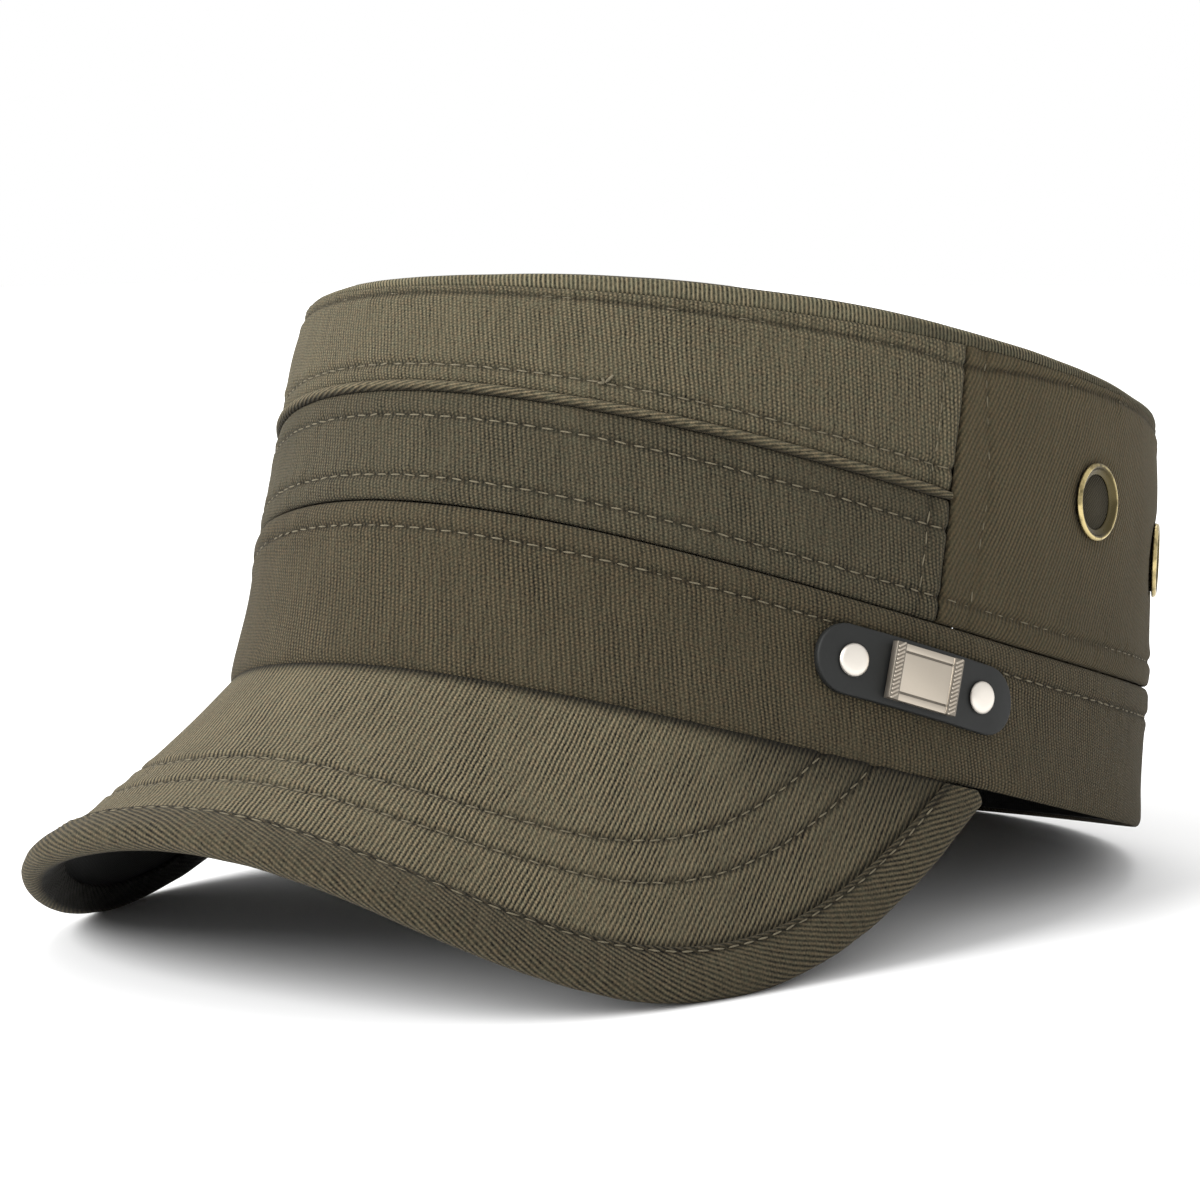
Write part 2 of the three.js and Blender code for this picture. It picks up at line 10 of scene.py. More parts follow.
import bmesh
import bpy
from mathutils import Matrix, Vector, kdtree, noise


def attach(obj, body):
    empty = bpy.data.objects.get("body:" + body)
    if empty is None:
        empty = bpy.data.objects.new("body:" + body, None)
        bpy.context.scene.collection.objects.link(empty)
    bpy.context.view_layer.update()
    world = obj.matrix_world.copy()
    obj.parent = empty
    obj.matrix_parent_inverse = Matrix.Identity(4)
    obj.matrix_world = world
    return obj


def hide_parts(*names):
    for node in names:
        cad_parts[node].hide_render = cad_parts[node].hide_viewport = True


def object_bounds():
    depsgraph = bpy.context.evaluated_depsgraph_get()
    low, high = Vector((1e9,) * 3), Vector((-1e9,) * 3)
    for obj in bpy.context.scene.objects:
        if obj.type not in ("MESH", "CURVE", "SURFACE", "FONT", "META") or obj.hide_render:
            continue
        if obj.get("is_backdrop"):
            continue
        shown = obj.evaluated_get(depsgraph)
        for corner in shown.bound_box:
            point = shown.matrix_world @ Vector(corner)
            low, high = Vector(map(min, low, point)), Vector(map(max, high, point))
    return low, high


bl_info = {
    "name": "Flat-top Twill Cap",
    "version": (1, 0, 0),
    "blender": (4, 5, 0),
    "location": "View3D > Sidebar > Cap",
    "description": "Dresses the cap's CAD frame in twill, stitching and metal trim",
    "category": "Object",
}

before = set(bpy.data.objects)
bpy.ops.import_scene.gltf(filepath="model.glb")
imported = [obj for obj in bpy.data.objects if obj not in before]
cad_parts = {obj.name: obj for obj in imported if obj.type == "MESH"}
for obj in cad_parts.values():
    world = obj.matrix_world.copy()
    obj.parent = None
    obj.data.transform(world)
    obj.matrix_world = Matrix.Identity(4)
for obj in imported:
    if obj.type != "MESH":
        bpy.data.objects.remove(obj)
CAD_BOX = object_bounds()

# Shapes are worked out in millimetres in the cap's own frame: +Z runs up the crown, the peak
# points to -Y and +X is the wearer's left. LAID tips the cap back onto the surface.
MM = 0.001
LAID = (
    Matrix.Translation((0.50011, 24.14483, 22.72026))
    @ Matrix.Rotation(math.radians(-15.3717), 4, "X")
    @ Matrix.Rotation(math.radians(-1.0646), 4, "Y")
)
TO_ROW = Matrix.Scale(MM, 4) @ LAID
FLOOR_CLEARANCE = 0.01 * MM
WELD = 0.0005

# The crown's outline at its hem and its top. EGG narrows its front, and END_BLEND says how fast
# its front half passes into its back half
Plan = collections.namedtuple("Plan", "half_width front back shift")
HEM_PLAN = Plan(81.8, 103.6, 100.0, 0.0)
TOP_PLAN = Plan(80.7, 94.1, 89.8, -3.9)
CROWN_HEIGHT = 76.8
EGG = 0.075
END_BLEND = 2.5
ARC_STEPS = 1440
RIM_HEIGHT = 2.2
SEAM_DEGREES = 70.5
SEAM = math.radians(SEAM_DEGREES)
SEAM_HALF_GAP = 0.05
SIDES = ((1, "left"), (-1, "right"))

# Between two walls, and how far the stitching stays off a side seam and draws in the cloth
GAP = 0.3
STITCH_DEGREES = 0.6
SEAM_REACH = 9

# Heights of each line of the crown at the front, the side and the back
LINES = {
    "hem": (2.3, -3.0, 3.7),
    "fold": (31.4, 23.6, 32.6),
    "piping": (52.4, 46.0, 47.6),
    "top": (73.1, 78.2, 77.7),
}

# The peak's plan, how steeply it falls, how it starts under the hem, and how it sits askew
PEAK = types.SimpleNamespace(
    half_width=78.4, depth=128.9, centre_y=-15.6, squareness=2.3,
    slope=1.0, side_slope=0.79, tip_slope=1.16, flatten=0.0054, fan=0.43,
    dip=0.5, dip_reach=4.0, shift=1.2, roll=0.02, skew_reach=8.0)
PEAK_END = math.radians(74.0)
PEAK_SEAMS = (16.1, 23.9)
PEAK_SWELL = 0.3
BINDING_SEAM = 3.3

# Degrees round the crown and height of each vent, and how far its hole and its dent reach
VENTS = (("front", 94.4, 54.4), ("back", 121.0, 51.0))
VENT_HOLE = 6.4
VENT_DENT = 13
THROUGH_CLOTH = 10
BADGE = types.SimpleNamespace(angle=math.radians(68.3), height=13.6, slope=-0.06)
RIVET_PLACE = 14.4


def mix(a, b, share):
    return a + (b - a) * share


def bell(distance, width):
    return math.exp(-((distance / width) ** 2))


def clamp(value, low=0.0, high=1.0):
    return min(max(value, low), high)


def ramp(value, start, width):
    """0 up to the start and 1 past the width, straight in between"""
    return clamp((value - start) / width)


def ease(share):
    return share * share * (3 - 2 * share)


def spread(start, end, steps):
    return [mix(start, end, step / steps) for step in range(steps + 1)]


def farthest(inside, far, halvings):
    """The farthest reach that is still inside"""
    near = 0.0
    for _ in range(halvings):
        middle = (near + far) / 2
        if inside(middle):
            near = middle
        else:
            far = middle
    return near


def running_lengths(path):
    """Length of a path from its start to each of its points"""
    spans = ((b - a).length for a, b in zip(path, path[1:]))
    return list(itertools.accumulate(spans, initial=0.0))


def stand(place, *ways):
    """The move to a place, with X, Y and Z turned to run along three ways"""
    return Matrix.Translation(place) @ Matrix(ways).transposed().to_4x4()


def line_height(line, angle):
    """Height of one of the crown's lines at an angle from the front"""
    front, side, back = LINES[line]
    ends = (front + back) / 2
    swing = (front - back) / 2 * math.cos(angle)
    return (ends + side) / 2 + swing + (ends - side) / 2 * math.cos(2 * angle)


def plan_point(angle, z):
    """A point on the crown's outline at a height; the angle runs from the front to the left"""
    plan = Plan(*(mix(low, high, z / CROWN_HEIGHT) for low, high in zip(HEM_PLAN, TOP_PLAN)))
    cosine = math.cos(angle)
    front_share = 0.5 + 0.5 * math.tanh(END_BLEND * cosine)
    x = plan.half_width * math.sin(angle) * (1 - EGG * cosine)
    y = plan.shift - mix(plan.back, plan.front, front_share) * cosine
    return Vector((x, y, z))


def plan_normal(angle, z):
    along = plan_point(angle + 0.001, z) - plan_point(angle - 0.001, z)
    return Vector((along.y, -along.x, 0)).normalized()


def degrees_round(angle):
    """Degrees from the front, to the left up to 180 and to the right down to -180"""
    return math.degrees(math.remainder(angle, math.tau))


def top_tuck(angle, z):
    """How far the worn crown leans in near its top, most at the wearer's right front"""
    high = clamp((z - 58) / (CROWN_HEIGHT - 58), high=1.1)
    return mix(0.5, 1.9, bell(degrees_round(angle) + 52, 34)) * high * high


def wall_point(angle, z, out=0.0):
    return plan_point(angle, z) + plan_normal(angle, z) * (out - top_tuck(angle, z))


ARC = running_lengths(
    [plan_point(math.tau * step / ARC_STEPS, 40.0) for step in range(ARC_STEPS + 1)])


@functools.lru_cache(maxsize=None)
def arc_length(angle):
    """Signed length of the outline between the front and an angle"""
    turn = abs(angle) / math.tau * ARC_STEPS
    low = min(int(turn), ARC_STEPS - 1)
    return math.copysign(mix(ARC[low], ARC[low + 1], turn - low), angle)


def smooth_path(points, steps):
    """Points along a curve through the given ones, an equal number to each span"""
    vectors = [Vector(point) for point in points]
    held = [2 * vectors[0] - vectors[1], *vectors, 2 * vectors[-1] - vectors[-2]]
    path = []
    for a, b, c, d in zip(held, held[1:], held[2:], held[3:]):
        for t in (step / steps for step in range(steps)):
            path.append(0.5 * (2 * b + (c - a) * t + (2 * a - 5 * b + 4 * c - d) * t * t
                               + (3 * b - a - 3 * c + d) * t * t * t))
    return [*path, vectors[-1]]


class Outline:
    """A smooth open outline that is read by the share of its length"""

    def __init__(self, points, scale=(1, 1, 1)):
        self.path = smooth_path(points, 12)
        sized = [Vector([part * size for part, size in zip(point, scale)]) for point in self.path]
        self.lengths = running_lengths(sized)
        self.total = self.lengths[-1]

    def at(self, share):
        wanted = clamp(share) * self.total
        low = min(bisect.bisect_right(self.lengths, wanted) - 1, len(self.lengths) - 2)
        start, end = self.lengths[low : low + 2]
        return self.path[low].lerp(self.path[low + 1], (wanted - start) / (end - start))

    def value_at(self, first):
        """The second number of the outline where its first number has a value"""
        for a, b in zip(self.path, self.path[1:]):
            if a.x <= first <= b.x and b.x > a.x:
                return mix(a.y, b.y, (first - a.x) / (b.x - a.x))
        return self.path[-1].y


# Seams of the crown


def wave(middle, swing, double):
    return lambda angle: middle + swing * math.cos(angle) + double * math.cos(2 * angle)


def beside(line, offset):
    return lambda angle: line_height(line, angle) + offset


def top_stitch(angle):
    """The stitching below the rim, which dips where it crosses a side seam"""
    turn = abs(degrees_round(angle))
    sewn = TOP_WAVE(angle) - 1.1 * bell(turn - SEAM_DEGREES, 5) + 0.7 * ramp(turn, 78, 12)
    return min(sewn, line_height("top", angle) - 3.2)


BELOW_FOLD = wave(22.4, 0.0, 4.3)
ABOVE_FOLD = wave(32.7, -1.1, 4.4)
BELOW_PIPING = wave(42.7, 1.5, 2.8)
ABOVE_PIPING = wave(53.2, 1.1, 2.1)
TOP_WAVE = wave(73.8, -4.5, 0.3)


def back_upright(height):
    """Angle of the upright stitching behind the side seam at a height"""
    return math.radians(74.6 + 0.9 * bell(height - 50, 14) - 1.4 * max(height - 55, 0) / 20)


def front_upright(_):
    return math.radians(67.8)


class Wall:
    """A cloth wall round the crown: its rolled section and the seams sewn across it"""

    def __init__(self, low, high, section, lines, seed, seams=(), upright=None,
                 rim_shade=0.85, painted_low_shade=0.0):
        self.low, self.high, self.lines, self.seed = low, high, lines, seed
        self.seams, self.upright, self.rim_shade, self.painted_low_shade = seams, upright, rim_shade, painted_low_shade
        self.outline = Outline(section, scale=(high(0.6) - low(0.6), 1.0))

    def relief(self, angle, height):
        """How far the cloth stands out here beyond its section, and the painted shade of its seams
        """
        run = arc_length(angle)
        out = 0.34 * noise.noise((run / 31, height / 17, self.seed))
        out += 0.16 * noise.noise((run / 9, height / 13, self.seed + 7))
        # Painted shade in each stitched line, upright seam and side seam, where the cloth dips
        painted_shade = 0.0
        for number, line in enumerate(self.lines):
            off = height - line(angle)
            if abs(off) < SEAM_REACH:
                pull = noise.noise((run / 2.3, off / 6, self.seed + 20 + number))
                out += 0.3 * pull * bell(off, 2.8)
                out -= 0.4 * bell(off, 0.7)
                out += 0.14 * bell(abs(off) - 1.6, 1.1)
                painted_shade = max(painted_shade, 0.85 * bell(off, 0.48))
        for side, _ in SIDES if self.upright else ():
            off = run - side * arc_length(self.upright(height))
            if abs(off) < SEAM_REACH:
                pull = noise.noise((height / 2.3, off / 6, self.seed + 40))
                out += 0.26 * pull * bell(off, 2.6)
                out -= 0.3 * bell(off, 0.8)
                painted_shade = max(painted_shade, 0.45 * bell(off, 0.6))
        for seam in self.seams:
            off = abs(abs(run) - arc_length(seam))
            if off < SEAM_REACH * 2 / 3:
                out += 0.2 * bell(off - 1.6, 1.2)
                out -= 0.4 * bell(off, 0.5)
                painted_shade = max(painted_shade, 0.5 * bell(off, 0.5))
        return out, painted_shade

    def place(self, angle, share):
        up, out = self.outline.at(share)
        height = mix(self.low(angle), self.high(angle), up)
        extra, painted_shade = self.relief(angle, height)
        edge = min(share, 1 - share) * self.outline.total
        # Painted shade along the wall's rolled edges, and painted shade that deepens down the crown
        # towards the hem
        shade = self.rim_shade if share > 0.5 else 0.85
        painted_shade = max(painted_shade, shade * bell(edge, 0.9), self.painted_low_shade * (1 - height / CROWN_HEIGHT))
        return wall_point(angle, height, out + extra * min(edge / 1.2, 1.0)), painted_shade

    def face(self, angle, height):
        """A point on the finished outer face, and the way out from it"""
        low = self.low(angle)
        out = self.outline.value_at((height - low) / (self.high(angle) - low))
        point = wall_point(angle, height, out + self.relief(angle, height)[0])
        return point, plan_normal(angle, height)

    def sheet(self, start, end, columns, rows, closed=False):
        """The wall as cloth between two angles"""
        total = self.outline.total
        weave = lengthwise(total, (self.low(0) + self.high(0) - total) / 2)
        return cloth_sheet((start, end), columns, rows, self.place, weave, closed)


def over_peak(angle):
    """1 over the peak and 0 behind it"""
    return ramp(math.cos(angle), 0.18, 0.2)


# The walls. A section runs up the cloth: share of the wall's height, millimetres out
BAND = Wall(
    lambda angle: line_height("hem", angle) - 0.75 * over_peak(angle),
    beside("fold", -GAP / 2),
    [(0.03, -1.6), (0.0, -0.9), (0.004, -0.1), (0.05, 0.45), (0.14, 0.45), (0.3, 0.15),
     (0.5, 0.0), (0.72, 0.15), (0.86, 0.5), (0.94, 0.62), (0.985, 0.2), (1.0, -0.5), (0.98, -1.3)],
    (BELOW_FOLD,), seed=1.0)
LOWER_FRONT = Wall(
    beside("fold", GAP / 2), beside("piping", -0.8),
    [(0.03, -1.7), (0.0, -0.9), (0.01, -0.1), (0.06, 0.35), (0.2, 0.3), (0.5, 0.25),
     (0.8, 0.2), (0.94, 0.1), (1.0, -0.5), (0.98, -1.5)],
    (ABOVE_FOLD, BELOW_PIPING), 2.0, (SEAM,), front_upright, rim_shade=1.25)
UPPER_FRONT = Wall(
    beside("piping", 0.8), beside("top", -RIM_HEIGHT),
    [(0.02, -1.6), (0.0, -0.6), (0.05, 0.05), (0.3, 0.35), (0.6, 0.42), (0.85, 0.25),
     (0.97, 0.2), (0.99, 0.1), (1.0, -0.3), (0.985, -1.5)],
    (ABOVE_PIPING, top_stitch), 3.0, (SEAM,), front_upright, rim_shade=0.1, painted_low_shade=0.5)
BACK = Wall(
    beside("fold", GAP / 2), beside("top", -RIM_HEIGHT),
    [(0.012, -1.7), (0.0, -0.9), (0.005, -0.1), (0.03, 0.35), (0.15, 0.3), (0.4, 0.35),
     (0.7, 0.4), (0.9, 0.25), (0.985, 0.2), (0.995, 0.1), (1.0, -0.3), (0.992, -1.5)],
    (ABOVE_FOLD, top_stitch), 4.0, (SEAM, math.pi), back_upright, rim_shade=0.1, painted_low_shade=0.5)


# The peak


def peak_slope(angle):
    side = math.sin(angle) ** 2
    return PEAK.slope + PEAK.side_slope * side + PEAK.tip_slope * side * side


def peak_droop(angle, reach):
    """The peak's edge hangs lower at the wearer's right front, where it was bent in wear"""
    return 2.4 * bell(math.degrees(angle) + 14, 22) * (max(reach, 0.0) / 40) ** 1.3


def peak_plan(angle, reach):
    start = plan_point(angle, line_height("hem", angle))
    return start.x + PEAK.fan * math.sin(angle) * reach, start.y - reach


def peak_point(angle, reach):
    """A point of the bare peak, at a reach forward from the hem"""
    x, y = peak_plan(angle, reach)
    fall = peak_slope(angle) * reach - PEAK.flatten * reach * reach
    under = PEAK.dip * math.exp(-reach / PEAK.dip_reach)
    skew = 1 - math.exp(-reach / PEAK.skew_reach)
    height = line_height("hem", angle) - fall - under - peak_droop(angle, reach)
    return Vector((x + PEAK.shift * skew, y, height - PEAK.roll * x * skew))


def peak_normal(angle, reach):
    across = peak_point(angle + 0.01, reach) - peak_point(angle - 0.01, reach)
    outward = peak_point(angle, reach + 0.01) - peak_point(angle, reach - 0.01)
    return outward.cross(across).normalized()


@functools.lru_cache(maxsize=None)
def peak_reach(angle):
    """How far the peak runs from the hem to its outer edge at an angle"""
    def inside(reach):
        x, y = peak_plan(angle, reach)
        wide = abs(x / PEAK.half_width) ** PEAK.squareness
        deep = max((PEAK.centre_y - y) / PEAK.depth, 0.0) ** PEAK.squareness
        return wide + deep <= 1

    return farthest(inside, PEAK.depth / 2, 30)


def edge_station(angle):
    """The peak's edge at an angle: the place, the edge's direction, the way in and the normal"""
    reach = peak_reach(angle)
    before = peak_point(angle - 0.01, peak_reach(angle - 0.01))
    after = peak_point(angle + 0.01, peak_reach(angle + 0.01))
    along = (after - before).normalized()
    normal = peak_normal(angle, reach)
    return peak_point(angle, reach), along, normal.cross(along).normalized(), normal


def edge_tree(steps=1600):
    tree = kdtree.KDTree(steps + 1)
    for number, angle in enumerate(spread(-PEAK_END, PEAK_END, steps)):
        tree.insert(peak_point(angle, peak_reach(angle)), number)
    tree.balance()
    return tree


EDGE = edge_tree()


def inside_edge(point):
    return EDGE.find(point)[2]


def peak_relief(point, reach):
    """Rise of the peak's cloth and the painted shade of its seams and of the binding's inner edge,
    from the distance to the edge
    """
    inside = inside_edge(point)
    out = 0.2 * noise.noise((point.x / 23, point.y / 23, 11.0))
    far = ramp(-point.x, 14, 30)
    out += PEAK_SWELL * ease(far) * min(inside / 16, 1.0) * min(reach / 14, 1.0)
    # Painted shade along the binding's inner edge and in each seam
    painted_shade = 0.75 * bell(inside - 4.6, 0.8)
    for number, seam in enumerate(PEAK_SEAMS):
        off = inside - seam
        if abs(off) < SEAM_REACH:
            pull = noise.noise((point.x / 2.4, point.y / 2.4, 12.0 + number))
            out += 0.2 * pull * bell(off, 2.2) - 0.45 * bell(off, 0.8)
            out += 0.16 * bell(abs(off) - 1.8, 1.3)
            painted_shade = max(painted_shade, bell(off, 0.62))
    return out, painted_shade


# How the cloth of the peak is measured: millimetres between two rows, degrees in a row, and how
# much longer than its plan the sloping cloth is across the wearer's left side and down the peak
CLOTH_ROW = 0.6
CLOTH_DEGREES = 78
SIDE_STRETCH = 0.32
SIDE_WIDTH = 78
DOWN_STRETCH = 1.32


@functools.lru_cache(maxsize=None)
def far_cloth(row):
    """Cloth across the peak, one row, from its middle to each degree on the wearer's right"""
    points = []
    for degree in range(CLOTH_DEGREES):
        angle = -math.radians(degree)
        start = plan_point(angle, line_height("hem", angle))
        points.append(peak_point(angle, max(start.y + row * CLOTH_ROW, 0.0)))
    spans = (math.hypot(b.x - a.x, b.z - a.z) for a, b in zip(points, points[1:]))
    return list(itertools.accumulate(spans, initial=-points[0].x))


def peak_cloth(angle, reach):
    """Cloth coordinates: millimetres across the peak from its middle, and down it"""
    point = peak_point(angle, reach)
    down = point.y * DOWN_STRETCH
    if angle >= 0:
        return point.x * (1 + SIDE_STRETCH * (point.x / SIDE_WIDTH) ** 2), down
    degrees = -math.degrees(angle)
    whole = min(int(degrees), CLOTH_DEGREES - 2)
    row = -point.y / CLOTH_ROW
    near, far = (mix(*far_cloth(number)[whole : whole + 2], degrees - whole)
                 for number in (math.floor(row), math.floor(row) + 1))
    return -mix(near, far, row - math.floor(row)), down


def painted_band_shadow(angle, reach):
    """Painted shadow of the band on the peak at the wearer's left end, darkest right under the band
    """
    end = ramp(math.degrees(angle), 38, 20)
    return ease(end) * (0.3 + 0.7 * math.exp(-max(reach, 0.0) / 4))


def peak_place(angle, share, depth=0.0):
    reach = share * peak_reach(angle)
    point = peak_point(angle, reach)
    out, painted_shade = peak_relief(point, reach)
    return point + peak_normal(angle, reach) * (out - depth), painted_shade


# Finishes


# Millimetres that a yarn runs along a rib before it dips under
YARN_FLOAT = 0.62


class Wire:
    """A value on its way through a finish; arithmetic on it adds the nodes"""

    def __init__(self, finish, socket):
        self.finish = finish
        self.socket = socket

    def maths(self, operation, *others):
        return self.finish.maths(operation, self, *others)

    def __add__(self, other):
        return self.maths("ADD", other)

    def __mul__(self, other):
        return self.maths("MULTIPLY", other)

    def __sub__(self, other):
        return self.maths("SUBTRACT", other)

    def __rsub__(self, other):
        return self.finish.maths("SUBTRACT", other, self)

    def __truediv__(self, other):
        return self.maths("DIVIDE", other)

    __radd__ = __add__
    __rmul__ = __mul__

    def swing(self):
        """0 to 1 and back once in each unit, 1 at the whole numbers"""
        return (self * math.tau).maths("COSINE") * 0.5 + 0.5

    def between(self, low, high):
        """0 below low, 1 above high, straight in between"""
        values = [self, low, high, 0.0, 1.0]
        return self.finish.node("ShaderNodeMapRange", {"clamp": True}, values)


class Finish:
    """A material and the few ways in which the cap's finishes add to it"""

    def __init__(self, name, roughness, metallic=0.0, sheen=0.0, sheen_tint=(1, 1, 1), gloss=0.5):
        self.material = bpy.data.materials.new(name)
        self.material.use_nodes = True
        self.tree = self.material.node_tree
        self.shader = self.tree.nodes["Principled BSDF"]
        values = {"Roughness": roughness, "Metallic": metallic, "Specular IOR Level": gloss,
                  "Sheen Weight": sheen, "Sheen Roughness": 0.45, "Sheen Tint": (*sheen_tint, 1)}
        for socket, value in values.items():
            self.shader.inputs[socket].default_value = value

    def node(self, kind, settings=None, values=(), output=0):
        """Adds a node; a socket goes by its number or its identifier"""
        node = self.tree.nodes.new(kind)
        for setting, value in (settings or {}).items():
            setattr(node, setting, value)
        for key, value in values.items() if isinstance(values, dict) else enumerate(values):
            socket = find_socket(node.inputs, key)
            if isinstance(value, Wire):
                self.tree.links.new(value.socket, socket)
            else:
                socket.default_value = value
        return Wire(self, find_socket(node.outputs, output))

    def maths(self, operation, *values):
        return self.node("ShaderNodeMath", {"operation": operation}, values)

    def cloth_place(self):
        """Millimetres along and up the piece, from its UV map, as one vector and two values"""
        place = self.node("ShaderNodeUVMap", {"uv_map": "cloth"})
        along, up = (self.node("ShaderNodeSeparateXYZ", None, [place], way) for way in "XY")
        return place, along, up

    def own_place(self):
        """Metres in the piece's own frame"""
        return self.node("ShaderNodeTexCoord", output="Object")

    def speckle(self, place, scale, detail=2.0, roughness=0.5):
        values = {"Vector": place, "Scale": scale, "Detail": detail, "Roughness": roughness}
        return self.node("ShaderNodeTexNoise", {"noise_dimensions": "3D"}, values)

    def mark(self, name):
        """A value kept at each point of the piece, 0 where it has none of that name"""
        return self.node("ShaderNodeAttribute", {"attribute_name": name}, output="Fac")

    def blend(self, share, low, high, kind="MIX"):
        values = {"Factor_Float": share, "A_Color": colour(low), "B_Color": colour(high)}
        settings = {"data_type": "RGBA", "blend_type": kind}
        return self.node("ShaderNodeMix", settings, values, "Result_Color")

    def feed(self, wire, socket):
        self.tree.links.new(wire.socket, self.shader.inputs[socket])

    def tint(self, share, shade, low, high):
        """Colours the finish between two gains of one shade"""
        self.feed(self.blend(share, shaded(shade, low), shaded(shade, high)), "Base Color")

    def emboss(self, height, distance, strength=1.0):
        values = {"Strength": strength, "Distance": distance, "Height": height}
        self.feed(self.node("ShaderNodeBump", None, values), "Normal")


def find_socket(sockets, key):
    if isinstance(key, int):
        return sockets[key]
    return next(socket for socket in sockets if socket.identifier == key)


def colour(value):
    return value if isinstance(value, Wire) else (*value[:3], 1.0)


def shaded(shade, *gains):
    """A colour times one gain, or times one for each of red, green and blue"""
    return tuple(part * gain for part, gain in zip(shade, gains if len(gains) > 1 else gains * 3))


def twill_finish(name, shade, pitch, lean, strength=0.9, contrast=1.0, dots=0.7):
    """Twill with ribs of one pitch that lean from upright; dots breaks them up into floats"""
    finish = Finish(name, 0.92, sheen=0.03, sheen_tint=(0.86, 0.8, 0.66), gloss=0.15)
    place, along, up = finish.cloth_place()
    wander = finish.speckle(place, 0.09, 3.0) + finish.speckle(place, 0.55, 2.0) * 0.25
    ribs = (along * math.cos(lean) + up * math.sin(lean)) / pitch + wander * 0.9
    floats = (up * math.cos(lean) - along * math.sin(lean)) / YARN_FLOAT
    rib = ribs.swing()
    yarn = (floats + (ribs + 0.5).maths("FLOOR") * 0.5 + wander * 1.3).swing()
    fuzz = finish.speckle(place, 2.3, 3.0, 0.65)
    values = {"Vector": place, "Scale": (1.1, 0.09, 1.0), "Rotation": (0.0, 0.0, lean)}
    slub = finish.speckle(finish.node("ShaderNodeMapping", None, values), 1.0, 2.0)
    cloud = finish.speckle(place, 0.045, 2.0)
    ribbed = finish.mark("ribbed")
    weave = rib * ((1 - dots) + dots * yarn + ribbed * (dots - dots * yarn))
    worn = 0.5 + finish.speckle(place, 0.07, 2.0).between(0.3, 0.7) * 0.6 + ribbed * 0.15
    yarns = (weave - 0.5 + dots * 0.25) * 1.35 * worn + (fuzz - 0.5) * 2.1 + (slub - 0.5) * 0.6
    light = 0.78 + yarns * contrast + (cloud - 0.5) * 0.2
    # The painted shade that each piece marks darkens the cloth's colour
    held = light * (1.0 - finish.mark("painted_shade") * 0.68).maths("MAXIMUM", 0.04)
    hue = finish.speckle(place, 0.75, 2.0).between(0.3, 0.7) * 0.6 + weave * 0.6 - ribbed * 0.3
    green, brown = shaded(shade, 0.9, 1.0, 0.96), shaded(shade, 1.12, 1.01, 0.92)
    cloth = finish.blend(hue.maths("MINIMUM", 1.0).maths("MAXIMUM", 0.0), green, brown)
    grey = finish.node("ShaderNodeCombineColor", None, [held, held, held])
    finish.feed(finish.blend(1.0, cloth, grey, "MULTIPLY"), "Base Color")
    finish.emboss(weave * 0.8 + fuzz * 0.45, 0.0003, strength)


def thread_finish(name, shade):
    finish = Finish(name, 0.8, sheen=0.05, sheen_tint=(0.9, 0.84, 0.7), gloss=0.2)
    fuzz = finish.speckle(finish.own_place(), 1400.0, 2.0)
    finish.tint(fuzz.between(0.3, 0.7), shade, 0.8, 1.2)
    finish.emboss(fuzz, 0.00006, 0.6)


def lining_finish(name, shade):
    finish = Finish(name, 0.95)
    place, along, up = finish.cloth_place()
    weave = (along / 0.7).swing() * (up / 0.7).swing()
    fuzz = finish.speckle(place, 1.5, 3.0)
    finish.tint(weave * 0.5 + fuzz * 0.5, shade, 0.6, 1.5)
    finish.emboss(weave + fuzz * 0.4, 0.00015, 0.7)


def mesh_finish(name, shade):
    finish = Finish(name, 0.9, gloss=0.15)
    place, along, up = finish.cloth_place()
    weave = ((along + up) / 0.75).swing() + ((along - up) / 0.75).swing()
    fuzz = finish.speckle(place, 1.8, 3.0)
    finish.tint(weave * 0.35 + fuzz * 0.3, shade, 0.35, 1.7)
    finish.emboss(weave * 0.5 + fuzz * 0.3, 0.0002, 0.9)


def metal_finish(name, shade, dulled, roughness, tarnish=(1.0, 1.5)):
    """Metal that is dulled in blotches between the tarnish values, and darkened by the painted
    shade that the piece marks
    """
    finish = Finish(name, roughness, metallic=1.0)
    place = finish.own_place()
    blotch = finish.speckle(place, 420.0, 3.0, 0.6)
    grain = finish.speckle(place, 2600.0, 2.0)
    worn = blotch.between(*tarnish)
    finish.tint((worn + finish.mark("painted_shade")).maths("MINIMUM", 1.0), shade, 1.0, dulled)
    finish.feed(roughness + worn * 0.18 + (grain - 0.5) * 0.1, "Roughness")
    finish.emboss(grain + blotch * 0.5, 0.00002, 0.5)


def strap_finish(name, shade):
    finish = Finish(name, 0.58, gloss=0.3)
    place = finish.own_place()
    grain = finish.speckle(place, 900.0, 3.0, 0.6)
    tone = grain * 0.5 + finish.speckle(place, 130.0, 2.0) * 0.5
    finish.tint(tone.between(0.25, 0.75), shade, 0.8, 1.25)
    finish.feed(0.5 + grain * 0.2, "Roughness")
    finish.emboss(grain, 0.00006, 0.5)


# Making pieces


